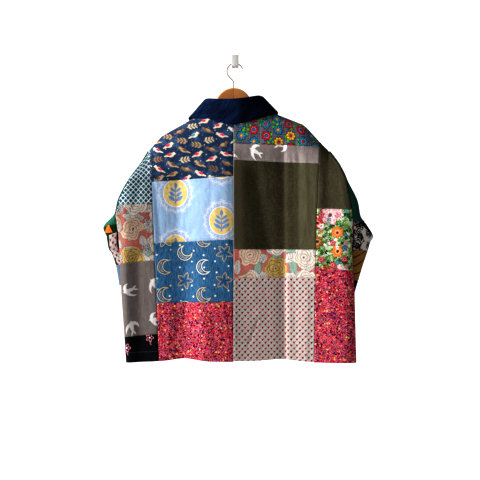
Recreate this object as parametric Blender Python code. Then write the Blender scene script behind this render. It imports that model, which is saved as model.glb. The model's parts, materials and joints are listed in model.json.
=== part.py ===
"""A patchwork jacket on a wooden hanger, which hangs from a wall hook.

Metres, +Z up. The wall is the plane y = 0 and the origin is the middle of the wall hook's back
face. The jacket hangs in front of the wall (y < 0) with its back to the viewer, so -Y looks at the
back and +X is on the viewer's right. "left" and "right" are the viewer's when facing the back.

The body is four pieced columns behind and four in front. Each column is a grid of points on the
cloth's middle surface, and each patch is a run of its rows given a thickness. The sleeves are
pieced strips that leave the armholes, fold forward and lie between the fronts and the wall.
"""

import math
from collections import namedtuple

import bpy
import numpy as np

# ---------------------------------------------------------------- driving sizes
CLOTH = 0.0020  # wall of the cloth: a patch on its ground
COLLAR_CLOTH = 0.0026  # two layers of denim
SEAM_GAP = 0.0003  # between neighbouring pieces
FOOT_GAP = 0.0018  # the collar's foot stands this far over the neckline's middle surface
FOOT_SHARE = 0.955  # and this share of the neckline's width apart

RIDGE_Y = -0.050  # plane of the hanger, and of the shoulder line that lies on it
BACK_Y = -0.080  # the back's plane at the chest
BACK_HEM_Y = -0.087  # the back's plane at the hem
FRONT_Y = -0.038  # the fronts' plane
SIDE_Y = -0.059  # side seams
BACK_ARCH = 0.090  # how far below the shoulder line the back reaches its full depth
FRONT_ARCH = 0.028
ARMHOLE_ARCH = 0.090  # how far above the underarm the armhole is fully open

CENTRE_X = -0.004  # centre-back seam, and the hanger's middle
NECK_HALF = 0.074  # half the neck opening, along the shoulder
NECK_TOP_Z = -0.124  # where the shoulder line would cross the neck
BACK_NECK_Z = -0.159  # middle of the back neckline
UNDERARM_Z = -0.487
HEM_Z = -0.854
FRONT_ARMHOLE_INSET = 0.010  # the front armhole is cut this much deeper

# ---------------------------------------------------------------- the body's outline
Point = namedtuple("Point", "x z")

# Shoulder line from the neck to the shoulder tip. The hanger tilts a little.
SHOULDER_LEFT = (
    Point(-0.0740, -0.1425),
    Point(-0.1630, -0.1926),
    Point(-0.2055, -0.2167),
    Point(-0.2425, -0.2575),
)
SHOULDER_RIGHT = (
    Point(0.0740, -0.1380),
    Point(0.1588, -0.1714),
    Point(0.1893, -0.1834),
    Point(0.2016, -0.1926),
    Point(0.2380, -0.2325),
    Point(0.2620, -0.2565),
)
# Front neckline, drawn for the right: the left takes the same drop below its own neck point.
FRONT_NECK = (
    Point(0.0, -0.226),
    Point(0.030, -0.212),
    Point(0.054, -0.190),
    Point(0.0715, -0.160),
    Point(0.0740, -0.1380),
)
# Armhole and then side seam, from the shoulder tip to the hem.
EDGE_LEFT = (
    Point(-0.2425, -0.2575),
    Point(-0.2470, -0.27),
    Point(-0.2655, -0.30),
    Point(-0.2955, -0.34),
    Point(-0.3215, -0.39),
    Point(-0.3345, -0.44),
    Point(-0.3290, UNDERARM_Z),
    Point(-0.3250, -0.54),
    Point(-0.3200, -0.66),
    Point(-0.3060, HEM_Z),
)
EDGE_RIGHT = (
    Point(0.2620, -0.2565),
    Point(0.2712, -0.27),
    Point(0.2922, -0.30),
    Point(0.3112, -0.34),
    Point(0.3209, -0.39),
    Point(0.3290, -0.44),
    Point(0.3310, UNDERARM_Z),
    Point(0.3285, -0.54),
    Point(0.3365, -0.66),
    Point(0.3410, HEM_Z),
)
SEAM_LEFT = (Point(-0.2385, -0.2525), Point(-0.2117, HEM_Z))
SEAM_RIGHT = (Point(0.2380, -0.2325), Point(0.2288, -0.44), Point(0.2215, HEM_Z))
CENTRE_BACK = (Point(CENTRE_X, -0.12), Point(CENTRE_X, HEM_Z))
OPENING_LEFT = (Point(CENTRE_X - 0.006, -0.20), Point(CENTRE_X - 0.012, HEM_Z))
OPENING_RIGHT = (Point(CENTRE_X + 0.006, -0.20), Point(CENTRE_X + 0.012, HEM_Z))

# Rows of points: common heights, so that neighbouring pieces turn together.
LEVELS = (-0.27, -0.30, -0.34, -0.39, -0.44, UNDERARM_Z, -0.54, -0.60, -0.66, -0.72, -0.78)
ROW_MARGIN = 0.009  # a level this near a patch's seam is left out
TOP_SHARES = (0.0, 0.012, 0.05, 0.14, 0.32, 0.62)  # rows of a first patch under the shoulder
TIP_DROP = 0.0035  # second row of a side column, below its top
# Where a main column's top row has points: at the neck, and at the hanger's bends and ends.
NECK_IN = 0.0715  # just inside the neck point
LEFT_TURNS = (-0.2055, -0.185, -0.163, -0.130, -0.102, -NECK_HALF, -NECK_IN, -0.054, -0.030)
RIGHT_TURNS = (0.030, 0.054, NECK_IN, NECK_HALF, 0.102, 0.130, 0.1588, 0.1893, 0.2016)
SIDE_SHARES = (0.25, 0.5, 0.75)  # a side column has points at these shares of its width

# ---------------------------------------------------------------- the largest folds
# From (x_top, z_top) to (x_low, z_low). A trough has depth > 0 and a ridge depth < 0.
Fold = namedtuple("Fold", "x_top z_top x_low z_low depth width_left width_right")
FOLD_FADE = 0.050  # length over which a fold begins and ends
BACK_FOLDS = (
    Fold(0.131, -0.225, 0.139, -0.92, 0.0100, 0.070, 0.024),
    Fold(0.182, -0.260, 0.184, -0.92, -0.0035, 0.026, 0.030),
    Fold(0.030, -0.300, 0.022, -0.92, -0.0040, 0.024, 0.045),
    Fold(-0.148, -0.560, -0.138, -0.92, 0.0095, 0.048, 0.024),
    Fold(-0.186, -0.300, -0.176, -0.600, 0.0045, 0.030, 0.026),
    Fold(-0.106, -0.330, -0.092, -0.760, -0.0045, 0.030, 0.034),
    Fold(-0.286, -0.520, -0.268, -0.92, 0.0065, 0.022, 0.020),
    Fold(0.258, -0.270, 0.266, -0.620, 0.0045, 0.018, 0.020),
    Fold(0.300, -0.600, 0.296, -0.92, 0.0050, 0.026, 0.022),
)
FRONT_FOLDS = (
    Fold(-0.120, -0.250, -0.138, -0.92, 0.0075, 0.034, 0.030),
    Fold(-0.058, -0.400, -0.066, -0.92, 0.0050, 0.026, 0.030),
    Fold(0.088, -0.300, 0.104, -0.92, 0.0080, 0.030, 0.036),
    Fold(0.170, -0.260, 0.176, -0.620, 0.0050, 0.026, 0.028),
    Fold(0.048, -0.500, 0.052, -0.92, 0.0040, 0.022, 0.024),
    Fold(-0.262, -0.560, -0.254, -0.92, 0.0060, 0.026, 0.024),
    Fold(0.286, -0.560, 0.280, -0.92, 0.0060, 0.026, 0.024),
)
# The hem lifts where a trough takes up its length.
Lift = namedtuple("Lift", "x rise width")
HEM_LIFTS = (Lift(-0.140, 0.008, 0.045), Lift(0.130, 0.006, 0.050))

# ---------------------------------------------------------------- colours, linear
NAVY = (0.030, 0.050, 0.120)
PALE_BLUE = (0.36, 0.50, 0.74)
DENIM_BLUE = (0.050, 0.140, 0.290)
RED = (0.56, 0.020, 0.060)
SLATE = (0.150, 0.150, 0.190)
GREY = (0.200, 0.180, 0.170)
OLIVE = (0.050, 0.048, 0.030)
SALMON = (0.62, 0.20, 0.16)
WHITE = (0.66, 0.66, 0.62)
TEAL_CHECK = (0.13, 0.30, 0.34)
GARDEN = (0.19, 0.29, 0.11)
BLACK = (0.010, 0.010, 0.014)
BOTTLE = (0.012, 0.070, 0.050)
INK_TOILE = (0.32, 0.31, 0.31)
BROWN = (0.20, 0.11, 0.035)
COLLAR_NAVY = (0.010, 0.016, 0.045)
WOOD = (0.50, 0.20, 0.055)
STEEL = (0.62, 0.61, 0.60)

# ---------------------------------------------------------------- patches of the body
# z_left and z_right: where the patch's lower seam meets the sides of its column.
Patch = namedtuple("Patch", "name colour z_left z_right")
BACK_SIDE_LEFT = (
    Patch("back_check", TEAL_CHECK, -0.4124, -0.4068),
    Patch("back_rose_side", SALMON, -0.5768, -0.5667),
    Patch("back_grey_side", GREY, -0.7823, -0.7725),
    Patch("back_black_side", BLACK, HEM_Z, -0.849),
)
BACK_MAIN_LEFT = (
    Patch("back_navy_print", NAVY, -0.3466, -0.3315),
    Patch("back_medallion", PALE_BLUE, -0.5197, -0.5079),
    Patch("back_star_denim", DENIM_BLUE, -0.6860, -0.6826),
    Patch("back_red_left", RED, -0.849, -0.850),
)
BACK_MAIN_RIGHT = (
    Patch("back_flower_yoke", SLATE, -0.2400, -0.2475),
    Patch("back_grey_yoke", GREY, -0.2860, -0.2960),
    Patch("back_olive", OLIVE, -0.5360, -0.5370),
    Patch("back_rose", SALMON, -0.6160, -0.6150),
    Patch("back_hearts", WHITE, -0.8475, -0.852),
)
BACK_SIDE_RIGHT = (
    Patch("back_olive_side", OLIVE, -0.4214, -0.4248),
    Patch("back_garden_side", GARDEN, -0.5860, -0.5960),
    Patch("back_red_side", RED, -0.853, HEM_Z),
)
FRONT_SIDE_LEFT = (
    Patch("front_bottle_side", BOTTLE, -0.425, -0.420),
    Patch("front_hearts_side", WHITE, -0.640, -0.632),
    Patch("front_grey_side", GREY, HEM_Z, -0.850),
)
FRONT_MAIN_LEFT = (
    Patch("front_rose", SALMON, -0.352, -0.356),
    Patch("front_denim", DENIM_BLUE, -0.574, -0.570),
    Patch("front_red", RED, -0.850, -0.850),
)
FRONT_MAIN_RIGHT = (
    Patch("front_red_yoke", RED, -0.318, -0.322),
    Patch("front_pale_blue", PALE_BLUE, -0.512, -0.508),
    Patch("front_black", BLACK, -0.850, -0.855),
)
FRONT_SIDE_RIGHT = (
    Patch("front_red_side", RED, -0.458, -0.462),
    Patch("front_olive_side", OLIVE, -0.685, -0.690),
    Patch("front_check_side", TEAL_CHECK, -0.853, HEM_Z),
)

# ---------------------------------------------------------------- sleeves
# A row is one flattened section of a sleeve, from its outer fold to its inner fold, with x away
# from the centre. Above the underarm it starts and ends on the armhole's edges at edge_z. Below,
# both its ends are the underarm seam (seam_x, seam_y, seam_z). The first row, the cap's, has no
# inner fold.
SleeveRow = namedtuple("SleeveRow", "edge_z x_out z_out x_in z_in y_near y_far seam")
NEAR_Y = -0.0305  # the layer beside the fronts
FAR_Y = -0.0085  # the layer beside the wall
SLEEVE_LEFT = (
    SleeveRow(-0.2605, 0.2480, -0.2605, None, None, None, None, None),
    SleeveRow(-0.27, 0.2520, -0.270, 0.2460, -0.270, -0.0335, -0.0290, None),
    SleeveRow(-0.30, 0.2700, -0.300, 0.2430, -0.302, -0.0320, -0.0200, None),
    SleeveRow(-0.34, 0.2980, -0.340, 0.2450, -0.345, -0.0310, -0.0120, None),
    SleeveRow(-0.39, 0.3280, -0.392, 0.2460, -0.400, NEAR_Y, FAR_Y, None),
    SleeveRow(-0.428, 0.3370, -0.429, 0.2440, -0.440, NEAR_Y, FAR_Y, None),
    SleeveRow(-0.44, 0.3425, -0.441, 0.2420, -0.452, NEAR_Y, FAR_Y, None),
    SleeveRow(-0.465, 0.3715, -0.472, 0.2370, -0.478, NEAR_Y, FAR_Y, None),
    SleeveRow(UNDERARM_Z, 0.3640, -0.500, 0.2310, -0.505, NEAR_Y, FAR_Y, (0.3325, SIDE_Y, UNDERARM_Z)),
    SleeveRow(None, 0.3590, -0.533, 0.2240, -0.525, NEAR_Y, FAR_Y, (0.3340, -0.0480, -0.520)),
    SleeveRow(None, 0.3495, -0.549, 0.2190, -0.540, NEAR_Y, FAR_Y, (0.3280, -0.0400, -0.542)),
    SleeveRow(None, 0.3390, -0.582, 0.2090, -0.570, NEAR_Y, FAR_Y, (0.3120, -0.0330, -0.578)),
    SleeveRow(None, 0.3285, -0.640, 0.1970, -0.620, NEAR_Y, FAR_Y, (0.2960, NEAR_Y, -0.634)),
    SleeveRow(None, 0.3200, -0.668, 0.1890, -0.650, NEAR_Y, FAR_Y, (0.2880, NEAR_Y, -0.663)),
    SleeveRow(None, 0.3090, -0.715, 0.1790, -0.692, NEAR_Y, FAR_Y, (0.2770, NEAR_Y, -0.709)),
    SleeveRow(None, 0.2980, -0.762, 0.1700, -0.735, NEAR_Y, FAR_Y, (0.2660, NEAR_Y, -0.755)),
    SleeveRow(None, 0.2880, -0.808, 0.1620, -0.780, NEAR_Y, FAR_Y, (0.2560, NEAR_Y, -0.801)),
)
SLEEVE_RIGHT = (
    SleeveRow(-0.2605, 0.2690, -0.2605, None, None, None, None, None),
    SleeveRow(-0.27, 0.2765, -0.270, 0.2700, -0.270, -0.0335, -0.0290, None),
    SleeveRow(-0.30, 0.2965, -0.300, 0.2600, -0.302, -0.0320, -0.0200, None),
    SleeveRow(-0.34, 0.3150, -0.340, 0.2540, -0.345, -0.0310, -0.0120, None),
    SleeveRow(-0.39, 0.3450, -0.396, 0.2480, -0.400, NEAR_Y, FAR_Y, None),
    SleeveRow(-0.44, 0.3545, -0.441, 0.2410, -0.452, NEAR_Y, FAR_Y, None),
    SleeveRow(-0.458, 0.3670, -0.460, 0.2370, -0.472, NEAR_Y, FAR_Y, None),
    SleeveRow(UNDERARM_Z, 0.3905, -0.496, 0.2300, -0.500, NEAR_Y, FAR_Y, (0.3345, SIDE_Y, UNDERARM_Z)),
    SleeveRow(None, 0.3835, -0.517, 0.2260, -0.515, NEAR_Y, FAR_Y, (0.3380, -0.0490, -0.514)),
    SleeveRow(None, 0.3770, -0.540, 0.2200, -0.535, NEAR_Y, FAR_Y, (0.3330, -0.0410, -0.538)),
    SleeveRow(None, 0.3640, -0.580, 0.2090, -0.568, NEAR_Y, FAR_Y, (0.3180, -0.0330, -0.576)),
    SleeveRow(None, 0.3500, -0.626, 0.1980, -0.608, NEAR_Y, FAR_Y, (0.3040, NEAR_Y, -0.620)),
    SleeveRow(None, 0.3380, -0.668, 0.1880, -0.646, NEAR_Y, FAR_Y, (0.2920, NEAR_Y, -0.661)),
    SleeveRow(None, 0.3250, -0.715, 0.1780, -0.690, NEAR_Y, FAR_Y, (0.2790, NEAR_Y, -0.707)),
    SleeveRow(None, 0.3120, -0.762, 0.1690, -0.734, NEAR_Y, FAR_Y, (0.2670, NEAR_Y, -0.754)),
    SleeveRow(None, 0.3000, -0.812, 0.1600, -0.780, NEAR_Y, FAR_Y, (0.2550, NEAR_Y, -0.803)),
)
# first_row and last_row are places in the tables above, from 0.
SleevePatch = namedtuple("SleevePatch", "name colour first_row last_row")
SLEEVE_LEFT_PATCHES = (
    SleevePatch("sleeve_left_leaf", GARDEN, 0, 5),
    SleevePatch("sleeve_left_teal", TEAL_CHECK, 5, 7),
    SleevePatch("sleeve_left_bottle", BOTTLE, 7, 8),
    SleevePatch("sleeve_left_hearts", WHITE, 8, 11),
    SleevePatch("sleeve_left_blue", PALE_BLUE, 11, 12),
    SleevePatch("sleeve_left_grey", GREY, 12, 16),
)
SLEEVE_RIGHT_PATCHES = (
    SleevePatch("sleeve_right_bottle", BOTTLE, 0, 6),
    SleevePatch("sleeve_right_toile", INK_TOILE, 6, 9),
    SleevePatch("sleeve_right_brown", BROWN, 9, 11),
    SleevePatch("sleeve_right_black", BLACK, 11, 15),
)
CORNER = 0.009  # rounding of a sleeve's outer fold
SLEEVE_POINTS = 16  # across a strip
SLEEVE_CUT = 0.00025  # a patch stops this far short of its seam, which turns more sharply here

# ---------------------------------------------------------------- collar
# Stations from the centre back round to the front: the fold, and the edge of the fall. foot_x is
# where the stand's foot meets the neckline, and front says on which sheet.
Station = namedtuple("Station", "foot_x front fold edge")
COLLAR = (
    Station(-0.010, True, (-0.022, -0.0285, -0.206), (-0.074, -0.0320, -0.278)),
    Station(-0.030, True, (-0.054, -0.0275, -0.164), (-0.104, -0.0320, -0.218)),
    Station(-0.054, True, (-0.079, -0.0340, -0.130), (-0.126, -0.0320, -0.180)),
    Station(-NECK_IN, True, (-0.0855, -0.0420, -0.1230), (-0.1300, -0.0395, -0.1710)),
    Station(-0.0725, False, (-0.088, -0.0500, -0.1185), (-0.1310, -0.0500, -0.1660)),
    Station(-0.062, False, (-0.078, -0.0640, -0.1135), (-0.1160, -0.0690, -0.1665)),
    Station(-0.048, False, (-0.058, -0.0715, -0.1145), (-0.0800, -0.0785, -0.1690)),
    Station(-0.028, False, (-0.034, -0.0760, -0.1160), (-0.0450, -0.0830, -0.1810)),
    Station(CENTRE_X, False, (CENTRE_X, -0.0775, -0.1160), (CENTRE_X, -0.0842, -0.1868)),
    Station(0.022, False, (0.026, -0.0760, -0.1125), (0.0350, -0.0830, -0.1800)),
    Station(0.044, False, (0.050, -0.0715, -0.1075), (0.0710, -0.0785, -0.1690)),
    Station(0.060, False, (0.069, -0.0640, -0.1050), (0.1050, -0.0695, -0.1575)),
    Station(0.0725, False, (0.082, -0.0500, -0.1100), (0.1210, -0.0500, -0.1500)),
    Station(NECK_IN, True, (0.0790, -0.0415, -0.1155), (0.1205, -0.0395, -0.1590)),
    Station(0.054, True, (0.072, -0.0340, -0.1240), (0.1170, -0.0320, -0.1700)),
    Station(0.030, True, (0.047, -0.0275, -0.1600), (0.0980, -0.0320, -0.2140)),
    Station(0.002, True, (0.014, -0.0285, -0.206), (0.0660, -0.0320, -0.278)),
)
COLLAR_ROLL = 0.0040  # half the thickness of the rolled fold, to the cloth's middle surface

# ---------------------------------------------------------------- hanger and wall hook
HANGER_DISC = Point(CENTRE_X, -0.1321)  # centre of the round top
HANGER_DISC_R = 0.0515
HANGER_CLEAR = 0.0023  # below the shoulder line's middle surface
HANGER_DIP = 0.0100  # the arms' tops lie this much lower beside the round top
HANGER_DIP_X = 0.095  # and rise to the shoulder line by here
HANGER_DIP_RUN = 0.030
HANGER_LEFT_X = -0.2040
HANGER_RIGHT_X = 0.2000
HANGER_DEPTH_ROOT = 0.044
HANGER_DEPTH_TIP = 0.024
HANGER_FOOT_Z = -0.196  # lower edge at the middle
# Half sections through the board's thickness: distance from its middle, and how far the outline
# is drawn in there.
HANGER_SECTION = (
    (-0.0050, 0.0034),
    (-0.0036, 0.0012),
    (-0.0016, 0.0),
    (0.0016, 0.0),
    (0.0036, 0.0012),
    (0.0050, 0.0034),
)

WIRE_R = 0.0017
WIRE_SIDES = 8
WIRE_CENTRE = Point(-0.0005, -0.0340)
WIRE_BEND_R = 0.0224
WIRE_TIP_ANGLE = 20  # degrees, round the hook from +X
WIRE_TURN_ANGLE = 225
WIRE_NECK_R = 0.012
WIRE_GAP = 0.0003  # the stem's end stands this far over the wood

HOOK_WIDTH = 0.020
HOOK_THICK = 0.0025
HOOK_SEAT_Z = -0.0162  # top of the arm that carries the wire
HOOK_LIP_Y = -0.0575  # front face of the lip
HOOK_LIP_TOP_Z = 0.0129
HOOK_PLATE_TOP_Z = 0.0133
HOOK_BEND_R = 0.0030  # inside


# ================================================================ small tools
def lerp(a, b, t):
    return a + (b - a) * t


def smoothstep(t):
    t = min(max(t, 0.0), 1.0)
    return t * t * (3 - 2 * t)


def arch(depth, length):
    """A quarter of an ellipse: 0 at its top and 1 from length downwards."""
    share = 1 - min(max(depth / length, 0.0), 1.0)
    return math.sqrt(1 - share * share)


def x_at(line, z):
    """x of a descending line of points at the height z."""
    return float(np.interp(-z, [-p.z for p in line], [p.x for p in line]))


def z_at(line, x):
    points = sorted(line)
    return float(np.interp(x, [p.x for p in points], [p.z for p in points]))


def unit(vector):
    return vector / max(np.linalg.norm(vector), 1e-12)


def clear_scene():
    for obj in list(bpy.data.objects):
        bpy.data.objects.remove(obj, do_unlink=True)


def material(name, colour, roughness, metallic):
    made = bpy.data.materials.new(name)
    made.use_nodes = True
    shader = made.node_tree.nodes["Principled BSDF"]
    shader.inputs["Base Color"].default_value = (*colour, 1.0)
    shader.inputs["Roughness"].default_value = roughness
    shader.inputs["Metallic"].default_value = metallic
    made.diffuse_color = (*colour, 1.0)
    return made


def add_mesh(name, vertices, faces, colour, roughness=0.9, metallic=0.0):
    mesh = bpy.data.meshes.new(name)
    mesh.from_pydata([tuple(float(c) for c in v) for v in vertices], [], faces)
    mesh.update()
    mesh.materials.append(material(name, colour, roughness, metallic))
    obj = bpy.data.objects.new(name, mesh)
    bpy.context.scene.collection.objects.link(obj)
    return obj


def grid_faces(rows, columns, start, flip):
    faces = []
    for i in range(rows - 1):
        for j in range(columns - 1):
            a = start + i * columns + j
            quad = (a, a + 1, a + columns + 1, a + columns)
            faces.append(quad[::-1] if flip else quad)
    return faces


def add_sheet(name, outer, inner, colour):
    """A closed sheet of cloth between two grids of points, indexed [row, column]."""
    rows, columns, _ = outer.shape
    count = rows * columns
    vertices = list(outer.reshape(-1, 3)) + list(inner.reshape(-1, 3))
    faces = grid_faces(rows, columns, 0, False) + grid_faces(rows, columns, count, True)
    rim = [(0, j) for j in range(columns)]
    rim += [(i, columns - 1) for i in range(1, rows)]
    rim += [(rows - 1, j) for j in range(columns - 2, -1, -1)]
    rim += [(i, 0) for i in range(rows - 2, 0, -1)]
    ring = [i * columns + j for i, j in rim]
    for a, b in zip(ring, ring[1:] + ring[:1]):
        faces.append((b, a, a + count, b + count))
    if signed_volume(vertices, faces) < 0:
        faces = [face[::-1] for face in faces]
    return add_mesh(name, vertices, faces, colour)


def signed_volume(vertices, faces):
    total = 0.0
    for face in faces:
        for k in range(1, len(face) - 1):
            a, b, c = (vertices[face[n]] for n in (0, k, k + 1))
            total += float(np.dot(a, np.cross(b, c)))
    return total


def trimmed(grid, first, last, cut_first, cut_last, cut=SEAM_GAP / 2):
    """Rows first to last of a grid, with its end rows drawn in where they are cut."""
    rows = grid[first : last + 1].copy()
    if cut_first:
        rows[0] = drawn_in(rows[0], rows[1], cut)
    if cut_last:
        rows[-1] = drawn_in(rows[-1], rows[-2], cut)
    return rows


def drawn_in(row, towards, cut):
    """A row moved square to itself towards the next one."""
    along = np.gradient(row, axis=0)
    along /= np.maximum(np.linalg.norm(along, axis=1, keepdims=True), 1e-9)
    step = towards - row
    step -= along * np.sum(along * step, axis=1, keepdims=True)
    length = np.linalg.norm(step, axis=1, keepdims=True)
    return row + step / np.maximum(length, 1e-9) * cut


def grid_normals(grid):
    """Unit normals of a grid of points, from its own differences."""
    along = np.gradient(grid, axis=0)
    across = np.gradient(grid, axis=1)
    normals = np.cross(along, across)
    return normals / np.maximum(np.linalg.norm(normals, axis=2, keepdims=True), 1e-12)


# ================================================================ the body's middle surface
def shoulder_z(x):
    """Height of the shoulder line, carried on over the neck."""
    side = SHOULDER_LEFT if x < 0 else SHOULDER_RIGHT
    if abs(x) >= NECK_HALF:
        return z_at(side, x)
    return lerp(NECK_TOP_Z, side[0].z, (abs(x) / NECK_HALF) ** 2)


def edge_line(x):
    return EDGE_LEFT if x < CENTRE_X else EDGE_RIGHT


def folds_at(folds, x, z):
    total = 0.0
    for fold in folds:
        if not fold.z_low < z < fold.z_top:
            continue
        strength = smoothstep((fold.z_top - z) / FOLD_FADE) * smoothstep((z - fold.z_low) / FOLD_FADE)
        off = x - lerp(fold.x_top, fold.x_low, (fold.z_top - z) / (fold.z_top - fold.z_low))
        width = fold.width_left if off < 0 else fold.width_right
        total += fold.depth * strength * math.exp(-((abs(off) / width) ** 1.7))
    return total


def sheet_y(x, z, front):
    """y of the back's or the fronts' middle surface."""
    down = (z - UNDERARM_Z) / (HEM_Z - UNDERARM_Z)
    plane = FRONT_Y if front else lerp(BACK_Y, BACK_HEM_Y, smoothstep(down))
    across = min(abs(x / x_at(edge_line(x), z)), 1.0)
    lens = math.sqrt(max(1 - across**4, 0.0))
    fullness = lens + (1 - lens) * arch(z - UNDERARM_Z, ARMHOLE_ARCH)
    fold = -folds_at(FRONT_FOLDS, x, z) if front else folds_at(BACK_FOLDS, x, z)
    hung = SIDE_Y + (plane - SIDE_Y) * fullness + fold * lens
    return lerp(RIDGE_Y, hung, arch(shoulder_z(x) - z, FRONT_ARCH if front else BACK_ARCH))


def sheet_normal(x, z, front):
    """Unit normal away from the jacket's inside."""
    step = 0.0003
    inward = -step if x > CENTRE_X else step
    slope_x = (sheet_y(x + inward, z, front) - sheet_y(x, z, front)) / inward
    slope_z = (sheet_y(x, z, front) - sheet_y(x, z - step, front)) / step
    normal = unit(np.array((-slope_x, 1.0, -slope_z)))
    return normal if front else -normal


def top_z(x, front):
    """The upper edge of the body's cloth: neckline, then shoulder line."""
    if abs(x) >= NECK_HALF:
        return shoulder_z(x)
    share = abs(x) / NECK_HALF
    side_z = shoulder_z(math.copysign(NECK_HALF, x))
    if front:
        return z_at(FRONT_NECK, abs(x)) + side_z - FRONT_NECK[-1].z
    return lerp(BACK_NECK_Z, side_z, share * share)


def front_armhole(edge):
    """The front's edge line: the back's, cut deeper between the shoulder tip and the underarm."""
    moved = []
    for p in edge:
        t = (edge[0].z - p.z) / (edge[0].z - UNDERARM_Z)
        inset = FRONT_ARMHOLE_INSET * math.sin(math.pi * t) if 0 < t < 1 else 0.0
        moved.append(Point(p.x - math.copysign(inset, p.x), p.z))
    return tuple(moved)


# ================================================================ columns of patches
def hem_lift(x):
    return sum(lift.rise * math.exp(-(((x - lift.x) / lift.width) ** 2)) for lift in HEM_LIFTS)


def column_rows(line_left, line_right, patches, front, turns):
    """Rows of (x, z) down a column, and the row at which each patch begins."""
    first, last = line_left[0].x, line_right[0].x
    shares = [0.0, *((x - first) / (last - first) for x in turns), 1.0] if turns else [0.0, *SIDE_SHARES, 1.0]

    def row(z_left, z_right, height):
        x_left = x_at(line_left, z_left)
        x_right = x_at(line_right, z_right)
        xs = [lerp(x_left, x_right, u) for u in shares]
        return [(x, height(x, u)) for x, u in zip(xs, shares)]

    rows, starts = [], [0]
    for number, patch in enumerate(patches):
        lift = hem_lift if number == len(patches) - 1 else lambda x: 0.0
        lower = lambda x, u, p=patch, f=lift: lerp(p.z_left, p.z_right, u) + f(x)
        if number == 0:
            top_left = top_z(line_left[0].x, front)
            top_right = top_z(line_right[0].x, front)
            if not turns:
                for drop in (0.0, TIP_DROP):
                    below_top = lambda x, u, d=drop: top_z(x, front) - d
                    rows.append(row(top_left - drop, top_right - drop, below_top))
                upper_limit = min(top_left, top_right) - TIP_DROP - ROW_MARGIN / 2
            else:
                for share in TOP_SHARES:
                    ends = lerp(top_left, patch.z_left, share), lerp(top_right, patch.z_right, share)
                    rows.append(row(*ends, lambda x, u, s=share: lerp(top_z(x, front), lower(x, u), s)))
                upper_limit = None
        else:
            upper_limit = min(patches[number - 1][2:]) - ROW_MARGIN
        if upper_limit is not None:
            lower_limit = max(patch.z_left, patch.z_right) + ROW_MARGIN
            rows += [row(z, z, lambda x, u, z=z: z) for z in LEVELS if lower_limit < z < upper_limit]
        starts.append(len(rows))
        rows.append(row(patch.z_left, patch.z_right, lower))
    return rows, starts


def column_grids(line_left, line_right, patches, front, turns):
    """Outer and inner grids of a column. Its sides stop half a gap short of the seam lines."""
    rows, starts = column_rows(line_left, line_right, patches, front, turns)
    half = SEAM_GAP / 2
    steps = len(rows[0]) - 1
    outer = np.zeros((len(rows), steps + 1, 3))
    inner = np.zeros_like(outer)
    for i, row in enumerate(rows):
        for j, (x, z) in enumerate(row):
            x += half if j == 0 else -half if j == steps else 0.0
            y = sheet_y(x, z, front)
            normal = sheet_normal(x, z, front)
            if i == 0 and abs(x) > NECK_HALF - half:
                y = RIDGE_Y + (half if front else -half)
                normal = unit(np.array((normal[0], 0.0, normal[2])))
            free_side = not turns and j == (0 if x < 0 else steps)
            if free_side and z <= UNDERARM_Z + 1e-6:
                y = SIDE_Y + (half if front else -half)
                normal = np.array((math.copysign(1.0, x), 0.0, 0.0))
            elif j in (0, steps):
                normal = unit(np.array((0.0, normal[1], normal[2])))
            middle = np.array((x, y, z))
            outer[i, j] = middle + normal * CLOTH / 2
            inner[i, j] = middle - normal * CLOTH / 2
    return outer, inner, starts


def build_column(line_left, line_right, patches, front, turns):
    outer, inner, starts = column_grids(line_left, line_right, patches, front, turns)
    for number, patch in enumerate(patches):
        limits = starts[number], starts[number + 1], number > 0, number < len(patches) - 1
        add_sheet(patch.name, trimmed(outer, *limits), trimmed(inner, *limits), patch.colour)


def build_body():
    build_column(EDGE_LEFT, SEAM_LEFT, BACK_SIDE_LEFT, False, None)
    build_column(SEAM_LEFT, CENTRE_BACK, BACK_MAIN_LEFT, False, LEFT_TURNS)
    build_column(CENTRE_BACK, SEAM_RIGHT, BACK_MAIN_RIGHT, False, RIGHT_TURNS)
    build_column(SEAM_RIGHT, EDGE_RIGHT, BACK_SIDE_RIGHT, False, None)
    build_column(front_armhole(EDGE_LEFT), SEAM_LEFT, FRONT_SIDE_LEFT, True, None)
    build_column(SEAM_LEFT, OPENING_LEFT, FRONT_MAIN_LEFT, True, LEFT_TURNS)
    build_column(OPENING_RIGHT, SEAM_RIGHT, FRONT_MAIN_RIGHT, True, RIGHT_TURNS)
    build_column(SEAM_RIGHT, front_armhole(EDGE_RIGHT), FRONT_SIDE_RIGHT, True, None)


# ================================================================ sleeves
def sleeve_ends(row, sign):
    """Where a row's strip begins, behind, and where it ends, in front. x is away from the centre."""
    if row.seam:
        x, y, z = row.seam
        half = SEAM_GAP / 2
        return (x, y - half - CLOTH / 2, z), (x, y + half, z)
    edge = EDGE_LEFT if sign < 0 else EDGE_RIGHT
    x_back = abs(x_at(edge, row.edge_z))
    x_front = abs(x_at(front_armhole(edge), row.edge_z))
    y_back = sheet_y(sign * x_back, row.edge_z, False)
    y_front = sheet_y(sign * x_front, row.edge_z, True)
    clear = CLOTH / 2 + SEAM_GAP / 2
    return (x_back + clear, y_back, row.edge_z), (x_front + clear, y_front, row.edge_z)


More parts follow.
